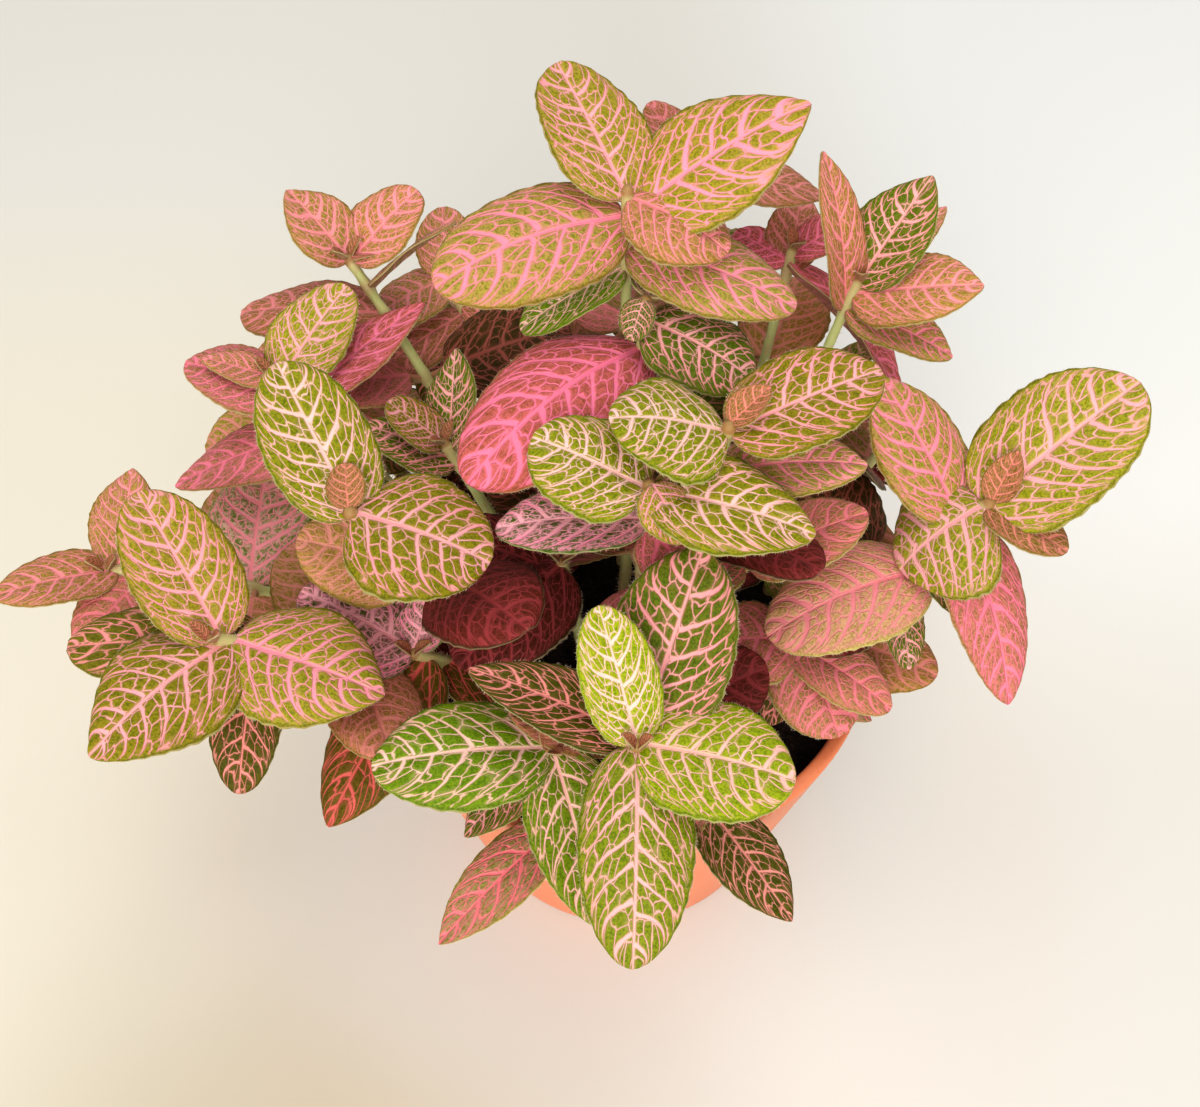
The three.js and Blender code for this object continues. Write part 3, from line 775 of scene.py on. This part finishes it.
# A blade's rows along it and columns on each side, its pairs of side veins, and its relief in millimetres.
YOUNG_GRID = (44, 10)
OLD_GRID = (34, 8)
SMALL_GRID = (26, 7)
TINY_GRID = (16, 5)
VEIN_PAIRS = 6.3
SMALL_VEIN_PAIRS = 5.2
FULL_WIDTH = 20
BLADE_FULLNESS = 0.40
STALK_LENGTH = 3.0
STALK_ROUNDING = 0.28
HALF_THICKNESS = 0.27
MARGIN_THINNING = 0.12
MARGIN_SCALLOPS = 0.035
MARGIN_RIPPLE = 0.5
MARGIN_CURL = 0.55
MIDRIB_GROOVE = 0.45
QUILTING = 0.34
UNDER_RIB = 0.55
UNDER_VEINS = 0.12
VEIN_WANDER = 0.16
LEFT_RIGHT_SHIFT = 0.35

# The hairs of each line of them: how many a millimetre, the shortest and the longest.
MARGIN_HAIRS = (3.0, 0.25, 0.55)
STEM_HAIRS = (1.0, 0.5, 1.0)


class Growth:
    """The points, faces and marks of one shoot's mesh, as they are added."""

    def __init__(self):
        self.points = []
        self.faces = []
        self.skins = []
        self.marks = {name: [] for name in MARKS}
        self.count = 0

    def loft(self, rings, skin, marks, tip):
        """A closed tube through rings of points, and to a single tip point."""
        rows, sides = rings.shape[:2]
        ring = self.count + np.arange(rows * sides).reshape(rows, sides)
        after = np.roll(ring, -1, axis=1)
        last = self.count + rows * sides
        walls = np.stack([ring[:-1], after[:-1], after[1:], ring[1:]], axis=-1).reshape(-1, 4)
        fan = [(int(a), int(b), last) for a, b in zip(ring[-1], after[-1])]
        self.faces += [tuple(wall) for wall in walls.tolist()] + fan + [tuple(ring[0][::-1].tolist())]
        self.skins += [skin] * (len(walls) + len(fan) + 1)
        self.points += [rings.reshape(-1, 3), tip.reshape(1, 3)]
        for name, store in self.marks.items():
            value = np.asarray(marks.get(name, np.zeros(MARKS[name])), float)
            if value.ndim < 2:
                value = np.broadcast_to(value, (rows * sides + 1, MARKS[name]))
            store.append(value)
        self.count = last + 1

    def piece(self, name, materials):
        """The shoot's object."""
        made = new_piece(name, np.concatenate(self.points), self.faces)
        mesh = made.data
        mesh.polygons.foreach_set("material_index", self.skins)
        for mark, store in self.marks.items():
            form, field = MARK_FORMS[MARKS[mark]]
            values = np.concatenate(store).astype(np.float32)
            mesh.attributes.new(mark, form, "POINT").data.foreach_set(field, values.ravel())
        for material in materials:
            mesh.materials.append(material)
        mesh.shade_smooth()
        return made


def grow_blade(growth, leaf, dice, hairs):
    """Adds a leaf: a thin blade, quilted between its veins, with a sunken midrib and a rippled margin."""
    small = leaf.length < SMALL_LENGTH
    rows, columns = OLD_GRID if leaf.old else YOUNG_GRID
    if small:
        rows, columns = SMALL_GRID if leaf.length > TINY_LENGTH else TINY_GRID
    pairs = (SMALL_VEIN_PAIRS if small else VEIN_PAIRS) + dice.uniform(-0.5, 0.5)
    phase = dice.uniform(0, 6.3)
    size = min(1.0, leaf.width / FULL_WIDTH)
    half_width = leaf.width / 2

    # its rows from the stem to the tip, and its ring from the left over its face to the right and back below
    stalk_rows = max(3, rows // 9)
    stalk_start, stalk_end = (0.0, 0.8 * leaf.stalk) if leaf.old else (-0.03, -0.01)
    blade = np.linspace(0, 1, rows - stalk_rows + 1)
    blade = 0.35 * blade + 0.65 * (0.5 - 0.5 * np.cos(np.pi * blade))
    stalk = np.linspace(stalk_start, stalk_end, stalk_rows, endpoint=False)
    along = np.concatenate([stalk, stalk_end + (1 - stalk_end) * blade])[:-1]
    spread = np.linspace(-1, 1, 2 * columns + 1)
    spread = (spread - 0.08 * np.sin(2 * np.pi * spread)) * 0.985
    share = np.concatenate([spread, [1.0], spread[::-1], [-1.0]])
    top = np.concatenate([np.ones(len(spread)), [0], -np.ones(len(spread)), [0]])
    share, level = np.meshgrid(share, np.clip((along - stalk_end) / (1 - stalk_end), 0, 1))
    along = np.broadcast_to(along[:, None], share.shape)
    outward = np.abs(share)
    right = share > 0

    # where the side veins run: one at each whole number
    bulge = 1.08 + 2 * (leaf.point - ROUND_TIP)
    stalk_half = (0.40 + 0.20 * size) * np.sqrt(np.clip(1 - level, 0, 1))
    half = np.hypot(stalk_half, half_width * blade_outline(level, BLADE_FULLNESS, leaf.point, bulge))
    sweep = 0.20 * outward * half / half_width + 0.13 * outward ** 2 + 0.12 * outward ** 4
    step = pairs * (level - sweep) / (1 - 0.5 * sweep)
    step = step + VEIN_WANDER * np.sin(1.15 * level * pairs + phase + right) * (0.4 + outward)
    step = step + np.where(right, LEFT_RIGHT_SHIFT, 0.0)
    ridge = 0.5 - 0.5 * np.cos(2 * np.pi * step)
    across = share * half * (1 + MARGIN_SCALLOPS * (ridge - 0.5) * (level > 0))

    # the height of its middle layer, and how thick it is above and below that
    stalked = np.exp(-(level * leaf.length / STALK_LENGTH) ** 2)
    lift = -MIDRIB_GROOVE * np.exp(-(across / (1.0 * size + 0.2)) ** 2) * (1 - 0.6 * level)
    lift += QUILTING * ridge * np.sin(np.pi * np.clip(outward * 1.02, 0, 1)) ** 0.7
    lift += MARGIN_RIPPLE * outward ** 2.5 * np.sin(level * 9 + phase + 2.2 * right)
    lift -= MARGIN_CURL * outward ** 6
    lift *= size * (1 - stalked)
    thick = (HALF_THICKNESS - MARGIN_THINNING * outward ** 2) * (0.6 + 0.4 * size)
    thick = thick + stalked * STALK_ROUNDING * np.sqrt(np.clip(1 - outward ** 2, 0, 1))
    rib = (UNDER_RIB * size + 0.15) * np.exp(-(across / (0.8 * size + 0.25)) ** 2) * (1 - 0.75 * level)
    rib += UNDER_VEINS * size * (1 - ridge) * (1 - outward)
    up = np.where(top > 0, thick, np.where(top < 0, -thick - rib, 0.0)) + lift
    lean = dice.uniform(-0.05, 0.05) * leaf.length * along ** 2
    rings = leaf.surface(along, across + lean, up)
    tip = leaf.surface(1, dice.uniform(-0.1, 0.1) + lean[-1, 0], lift[-1, columns])

    # its marks, each with the tip's value at its end
    *colours, vein_width, speckles, paleness = TONES[leaf.tone]
    bright = dice.uniform(0.9, 1.08)
    warm = dice.uniform(-0.04, 0.04)
    total = share.size + 1
    under = np.broadcast_to(0.5 - 0.5 * top, share.shape)
    place = [np.append(across / half_width, 0), np.append(level, 1), np.append(outward, 1)]
    kind = [np.full(total, dice.random()), np.append(under, 0.5), np.full(total, float(leaf.old))]
    marks = {
        "place": np.stack(place, axis=1),
        "kind": np.stack(kind, axis=1),
        "vein_step": np.append(step, pairs)[:, None],
        "habit": np.array([vein_width * (1.25 if small else 1.0), speckles, paleness]),
    }
    for name, code in zip(("cell", "glow", "vein", "margin"), colours):
        red, green, blue, _ = linear(code)
        marks[name] = np.array([red * bright * (1 + warm), green * bright * (1 - warm), blue * bright, 1.0])
    growth.loft(rings, 0, marks, tip)
    if not leaf.old:
        middle = rings[stalk_rows:, columns]
        for corner in (len(spread), -1):
            edge = rings[stalk_rows:, corner]
            hairs.append((edge, edge - middle, *MARGIN_HAIRS))


def grow_stem(growth, place, length, below_tip, dice, hairs):
    """Adds a shoot's stem: round, tapered, a little swollen where its leaves grow, and green to pink."""
    share = np.linspace(0, 1, max(12, int(length / STEM_STEP)))
    centre = place(share)
    roots = centre[0] + np.array([[0, 0, height] for height in ROOT_HEIGHTS])
    centre = np.concatenate([roots, centre])
    reach = np.concatenate([ROOT_HEIGHTS, share * length])
    level = np.clip(reach / length, 0, 1)
    knots = np.zeros(len(reach))
    for below in below_tip:
        knots = np.maximum(knots, np.exp(-((reach - (length - below)) / KNOT_LENGTH) ** 2))
    radius = STEM_RADIUS - STEM_TAPER * level + KNOT_SWELLING * knots
    radius = radius + STEM_RIPPLE * np.sin(reach * 1.7 + dice.uniform(0, 6))
    ahead = np.gradient(centre, axis=0)
    ahead /= np.linalg.norm(ahead, axis=1)[:, None]
    side = np.cross(ahead, [0.3, 1.0, 0.1])
    side /= np.linalg.norm(side, axis=1)[:, None]
    other = np.cross(ahead, side)
    angle = np.linspace(0, 2 * np.pi, STEM_SIDES, endpoint=False)
    out = np.cos(angle)[None, :, None] * side[:, None] + np.sin(angle)[None, :, None] * other[:, None]
    rings = centre[:, None] + radius[:, None, None] * out
    levels = np.append(np.repeat(level, STEM_SIDES), 1)
    swelling = np.append(np.repeat(knots, STEM_SIDES), 0)
    marks = {"place": np.stack([levels, swelling, np.full(len(levels), dice.random())], axis=1)}
    growth.loft(rings, 1, marks, centre[-1] + ahead[-1] * radius[-1] * 0.7)
    above = len(ROOT_HEIGHTS) + 2
    for k in range(STEM_SIDES):
        hairs.append((rings[above:, k], out[above:, k] + 0.3 * ahead[above:], *STEM_HAIRS))


def grow_bud(growth, place, dice, hairs):
    """Adds the pair of tiny folded leaves at a shoot's tip."""
    bearing = dice.uniform(0, 180)
    for half in (0, 180):
        rise = dice.uniform(45, 65)
        length = dice.uniform(3.2, 4.4)
        width = dice.uniform(1.8, 2.4)
        bud = Leaf(0, bearing + half, rise, length, width, 0, 0.5, 10, "bud")
        bud.base = place(np.array([1.0]))[0]
        grow_blade(growth, bud, dice, hairs)


AS_COLOUR = 0
AS_VECTOR = 1
AS_NUMBER = 2


def mark(coords, name, form):
    """What the mesh is marked with under this name, as a colour, a vector or a number."""
    return coords.node("Attribute", {"attribute_name": name}, {}, output=form)


def joined(x, y, z=0.0):
    """The vector of three numbers."""
    return x.node("CombineXYZ", {}, {0: x, 1: y, 2: z})


def most(*masks):
    """The greatest of several masks."""
    result = masks[0]
    for each in masks[1:]:
        result = result.math("MAXIMUM", result, each)
    return result


def times(colour, tint):
    """A colour multiplied by a tint."""
    settings = {"data_type": "RGBA", "blend_type": "MULTIPLY"}
    return colour.node("Mix", settings, {0: 1.0, 6: colour, 7: tint}, output=2)


# The blade's finish: green or brown cells in a net of pale veins, all laid out by the marks on its mesh.
CELL_SHADE = (0.50, 0.60, 0.30, 1.0)
MIDRIB_SHADE = (0.90, 0.50, 0.48, 1.0)
MARGIN_SHADE = (0.60, 0.62, 0.50, 1.0)
PALE_VEIN = "fff0e0"
DRY_EDGE = "e0cfa2"
STALK_BROWN = "b08a66"
UNDERSIDE = "a9a583"

blade, coords = new_finish("veined_blade", {
    "Specular IOR Level": 0.13,
    "Subsurface Weight": 0.12,
    "Subsurface Radius": (1.0, 0.45, 0.2),
    "Subsurface Scale": 0.0012,
    "Sheen Weight": 0.01,
    "Sheen Roughness": 0.6,
})
across, along, outward = mark(coords, "place", AS_VECTOR).parts()
chance, under, age = mark(coords, "kind", AS_VECTOR).parts()
vein_width, speckles, paleness = mark(coords, "habit", AS_VECTOR).parts()
step = mark(coords, "vein_step", AS_NUMBER)
side = across.math("GREATER_THAN", across, 0.0)
span = abs(across)
waver = joined(across * 2.0 + chance * 40, step * 0.8, chance * 7).grain(1.0, 1.0)
ragged = joined(across * 7 + chance * 20, step * 2.4, chance * 5).grain(1.0, 1.0)
path = step + (waver - 0.5) * 0.42 + (ragged - 0.5) * 0.14
row = path.math("FLOOR", path)
phase = path.math("FRACT", path)

# side veins, at whole numbers of the path, thick at the midrib and thin at the margin
off_vein = abs(path.math("FRACT", path + 0.5) - 0.5)
vein_half = (0.094 - outward * 0.022) * vein_width * (0.7 + ragged * 0.6)
fade = 1 - outward.over(0.70, 0.95) * 0.75 - outward.over(0.90, 0.96) * 0.25
side_vein = (1 - (off_vein - vein_half).over(-0.035, 0.04)) * fade
side_glow = (1 - (off_vein - vein_half).over(0.0, 0.13)) * fade

# the net between them, a little bent, whose meshes are rounded off at their corners
meshes = vein_width * 3.6 + 2.4
net_x = span * meshes + phase * 0.5 + chance * 17 + side * 9.3 + (waver - 0.5) * 0.8 + (ragged - 0.5) * 0.4
net_y = row * 3.7 + phase * (meshes * 0.36 - outward * 0.5) + chance * 31 + (ragged - 0.5) * 0.4
net_grid = {"Vector": joined(net_x, net_y), "Scale": 1.0, "Randomness": 0.9}
off_net = coords.node("TexVoronoi", {"voronoi_dimensions": "2D", "feature": "DISTANCE_TO_EDGE"}, net_grid)
off_middle = coords.node("TexVoronoi", {"voronoi_dimensions": "2D", "feature": "F1"}, net_grid)
net_fade = 1 - outward.over(0.90, 0.96)
net_half = (0.032 + ragged * 0.056) * vein_width
net_vein = (1 - (off_net - net_half).over(-0.04, 0.06)) * (0.42 + waver * 0.78) * net_fade
net_corner = off_middle.over(0.46, 0.74) * net_fade
net_glow = (1 - off_net.over(0.03, 0.20)) * net_fade

# the midrib
mid_half = (1 - along) * 0.026 + 0.014
mid_vein = 1 - (span - mid_half * (0.7 + ragged * 0.6)).over(-0.018, 0.026)
mid_glow = 1 - (span - mid_half).over(0.0, 0.08)
mid_core = (1 - span.over(0.0, mid_half * 0.8)) * (1 - along.over(0.2, 0.8))

veins = most(side_vein, mid_vein, net_vein, net_corner * 0.12) * (1 - age * 0.5)
glows = most(side_glow, mid_glow, net_glow * 0.7, net_corner * 0.5)
mottle = coords.grain(700.0, 3.0, 0.6)
flecks = coords.grain(2600.0, 2.0, 0.6)
fleck_mask = coords.grain(1500.0, 3.0, 0.7).over(0.47, 0.60) * speckles
cell = mark(coords, "cell", AS_COLOUR)
glow = mark(coords, "glow", AS_COLOUR)
vein = mark(coords, "vein", AS_COLOUR)
margin = mark(coords, "margin", AS_COLOUR)

# the cells, the flush beside the veins, the veins, the margin, the stalk and the underside, one over another
light_spots = flecks.over(0.38, 0.62)
colour = light_spots.paint(times(cell, CELL_SHADE), cell)
colour = (mottle.over(0.42, 0.68) * 0.35).paint(colour, glow)
colour = fleck_mask.paint(colour, glow)
colour = (glows * 0.7).paint(colour, glow)
inner = (1 - outward.over(0.1, 0.8)) * paleness
vein_colour = inner.paint(vein, linear(PALE_VEIN))
vein_colour = (mid_core * 0.35).paint(vein_colour, times(vein, MIDRIB_SHADE))
colour = veins.paint(colour, vein_colour)
rim_colour = light_spots.paint(times(margin, MARGIN_SHADE), margin)
colour = (outward.over(0.93, 0.97) * 0.75).paint(colour, rim_colour)
edge = coords.node("Mix", {"data_type": "RGBA"}, {0: 0.45, 6: margin, 7: linear(DRY_EDGE)}, output=2)
colour = (outward.over(0.975, 0.995) * (0.8 - age * 0.5)).paint(colour, edge)
colour = ((1 - along.over(0.0, 0.03)) * 0.7).paint(colour, linear(STALK_BROWN))
colour = (under * 0.45).paint(colour, linear(UNDERSIDE))
relief = (veins * -0.5 + mottle * 0.3 + flecks * 0.25).relief(0.75, 0.0004)
connect(blade, base_color=colour, roughness=0.46 + flecks * 0.16, normal=relief)

# The stem's finish: pale green skin, browner at the soil, with pinkish streaks, knots and a brown end.
STEM_GREEN = "c4cc88"
STEM_FOOT = "a08a5c"
STEM_STREAK = "cfa088"
STEM_KNOT = "b98468"
STEM_END = "9a6a3c"

stem_skin, coords = new_finish("stem_skin", {
    "Specular IOR Level": 0.4,
    "Subsurface Weight": 0.2,
    "Subsurface Radius": (1.0, 0.6, 0.3),
    "Subsurface Scale": 0.0015,
})
level, knot, _ = mark(coords, "place", AS_VECTOR).parts()
streaks = coords.grain(350.0, 3.0)
colour = level.over(0.0, 0.35).paint(linear(STEM_FOOT), linear(STEM_GREEN))
colour = (streaks.over(0.5, 0.7) * 0.35).paint(colour, linear(STEM_STREAK))
colour = (knot * 0.45).paint(colour, linear(STEM_KNOT))
colour = (level.over(0.975, 0.99) * 0.8).paint(colour, linear(STEM_END))
connect(stem_skin, base_color=colour, roughness=0.45 + streaks * 0.15, normal=streaks.relief(0.3, 0.0002))

hairs = []
for name, root, tip, named in STEMS:
    node = "leafy_stem_" + name
    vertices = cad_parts[node].data.vertices
    solid = kdtree.KDTree(len(vertices))
    for vertex in vertices:
        solid.insert(vertex.co / MM, vertex.index)
    solid.balance()
    place, length = stem_path(root, tip)
    leaves = [Leaf(*each) for each in named] + old_leaves(length, named)
    dice = random.Random(name)
    growth = Growth()
    grow_stem(growth, place, length, sorted({leaf.below for leaf in leaves}), dice, hairs)
    if name not in WITHOUT_BUD:
        grow_bud(growth, place, dice, hairs)
    for index, leaf in enumerate(leaves):
        leaf.base = place(np.array([max(0, 1 - leaf.below / length)]))[0]
        as_laid = settled(leaf, solid)
        tone = leaf.tone
        if tone is None:
            # an older leaf inside the mound gets a darker colouring as painted shade, one far out or on a lit
            # shoot a brighter one
            reach = 0 if as_laid is None else math.hypot(*as_laid.surface(1, 0, 0)[:2])
            lit = reach > LIT_BEYOND or name in LIT_SHOOTS
            tone = dice.choice(LIT_TONES if lit else SHADED_OLD_TONES)
        if as_laid is None:
            continue
        as_laid.tone = tone
        as_laid.point = SHARP_TIP if index in SHARP.get(name, ()) else ROUND_TIP
        grow_blade(growth, as_laid, dice, hairs)
    keep_on_root(growth.piece("shoot_" + name, (blade, stem_skin)), node)


# The hairs: fine, soft and whitish, standing from the stems and fringing the young leaves. Each is a closed
# spike, and all of them are one piece.
HAIR_WIDTH = 0.055
HAIR_ROOT = 0.1
HAIR_SCATTER = 0.28
HAIR_CORNERS = (0, 2.094, 4.189)
HAIR_WHITE = "efe3cc"
HAIR_PINK = "e8cdb6"

points = []
faces = []
first = 0
dice = np.random.default_rng(5)
for line, outward_way, per_mm, shortest, longest in hairs:
    gaps = np.linalg.norm(np.diff(line, axis=0), axis=1)
    reach = np.concatenate([[0], np.cumsum(gaps)])
    count = int(reach[-1] * per_mm)
    if count < 1:
        continue
    spots = np.sort(dice.uniform(0, reach[-1], count))
    foot = np.stack([np.interp(spots, reach, line[:, k]) for k in range(3)], axis=1)
    way = np.stack([np.interp(spots, reach, outward_way[:, k]) for k in range(3)], axis=1)
    way /= np.linalg.norm(way, axis=1)[:, None] + 1e-9
    way += dice.normal(0, HAIR_SCATTER, way.shape)
    way /= np.linalg.norm(way, axis=1)[:, None]
    across_way = np.cross(way, dice.normal(0, 1, way.shape))
    across_way /= np.linalg.norm(across_way, axis=1)[:, None]
    other_way = np.cross(way, across_way)
    tall = dice.uniform(shortest, longest, count)[:, None]
    corners = []
    for angle in HAIR_CORNERS:
        out = math.cos(angle) * across_way + math.sin(angle) * other_way
        corners.append(foot - way * HAIR_ROOT + HAIR_WIDTH / 2 * out)
    corners.append(foot + way * tall)
    points.append(np.stack(corners, axis=1).reshape(-1, 3))
    for a in range(first, first + 4 * count, 4):
        faces += [(a, a + 2, a + 1), (a, a + 1, a + 3), (a + 1, a + 2, a + 3), (a + 2, a, a + 3)]
    first += 4 * count
hair_piece = new_piece("hairs", np.concatenate(points), faces)

down, coords = new_finish("pale_hair", {"Roughness": 0.5})
shade = coords.grain(300.0, 2.0)
connect(down, base_color=shade.over(0.4, 0.6).paint(linear(HAIR_WHITE), linear(HAIR_PINK)))
hair_piece.data.materials.append(down)
keep_on_root(hair_piece, None)


# The setting: a plain pale sheet on the floor, painted with warm light on the left, brighter light at the
# back right, darker warm shade in front and a cooler tint near the pot against the pot's pink bounce light;
# soft light from above and in front, and the camera at the photograph's angle.
SHEET_HALF = 2000
SHEET = "e2e1db"
# the sheet's painted light and shade: warm light on the left, brighter light at the back right, shade in
# front, and a cooler tint near the pot against the pot's pink bounce light
SHEET_WARM_LIGHT = "e5e1d2"
SHEET_BRIGHT_LIGHT = "eef0ee"
SHEET_FRONT_SHADE = "cbc3ae"
SHEET_POT_BOUNCE_OFFSET = "e2ecea"
ROOM_WHITE = "fffdfa"
ROOM_STRENGTH = 0.52
CAMERA_PLACE = (-0.0044, -0.1345, 0.2585)
CAMERA_TILT = 37.5
LENS = 39
SENSOR = 36

sheet_corners = [(x * SHEET_HALF, y * SHEET_HALF, 0) for x, y in ((-1, -1), (1, -1), (1, 1), (-1, 1))]
floor = new_piece("floor", sheet_corners, [(0, 1, 2, 3)])
sheet, coords = new_finish("pale_sheet", {"Roughness": 0.5, "Specular IOR Level": 0.3})
sideways, depth, _ = coords.parts()
reach = coords.math("SQRT", sideways * sideways + depth * depth)
# masks of the painted light and shade on the sheet, and of the cooler tint near the pot
warm_light_left = (1 - sideways.over(-0.12, -0.02)) * (1 - depth.over(0.10, 0.24))
bright_light_back_right = sideways.over(0.0, 0.12) * depth.over(0.0, 0.10)
shade_front = (1 - depth.over(-0.08, -0.02)) * (1 - sideways.over(-0.06, 0.04)) * sideways.over(-0.16, -0.07)
bounce_offset_at_pot = 1 - reach.over(0.035, 0.09)
colour = warm_light_left.paint(linear(SHEET), linear(SHEET_WARM_LIGHT))
colour = bright_light_back_right.paint(colour, linear(SHEET_BRIGHT_LIGHT))
colour = shade_front.paint(colour, linear(SHEET_FRONT_SHADE))
colour = (bounce_offset_at_pot * 0.8).paint(colour, linear(SHEET_POT_BOUNCE_OFFSET))
connect(sheet, base_color=colour)
floor.data.materials.append(sheet)

world = bpy.data.worlds.new("soft_room")
world.use_nodes = True
world.node_tree.nodes["Background"].inputs["Color"].default_value = linear(ROOM_WHITE)
world.node_tree.nodes["Background"].inputs["Strength"].default_value = ROOM_STRENGTH
bpy.context.scene.world = world
bpy.context.scene.view_settings.view_transform = "Standard"
bpy.context.scene.view_settings.look = "Medium High Contrast"


def lamp(name, place, target, size, watts, colour):
    """A square soft light that faces a target."""
    light = bpy.data.lights.new(name, "AREA")
    light.size = size
    light.energy = watts
    light.color = linear(colour)[:3]
    made = bpy.data.objects.new(name, light)
    made.location = place
    made.rotation_euler = (Vector(target) - Vector(place)).to_track_quat("-Z", "Y").to_euler()
    bpy.context.scene.collection.objects.link(made)


lamp("window_light", (0.10, 0.10, 1.25), (0, 0, 0.08), size=0.8, watts=3.9, colour="fffbf8")
lamp("front_light", (-0.20, -1.05, 0.62), (0, 0, 0.06), size=0.9, watts=11.0, colour="fff9f2")

camera_data = bpy.data.cameras.new("camera")
camera_data.sensor_fit = "HORIZONTAL"
camera_data.sensor_width = SENSOR
camera_data.lens = LENS
camera_data.clip_start = 0.01
camera = bpy.data.objects.new("camera", camera_data)
camera.location = CAMERA_PLACE
camera.rotation_euler = (math.radians(CAMERA_TILT), 0, 0)
bpy.context.scene.collection.objects.link(camera)
bpy.context.scene.camera = camera
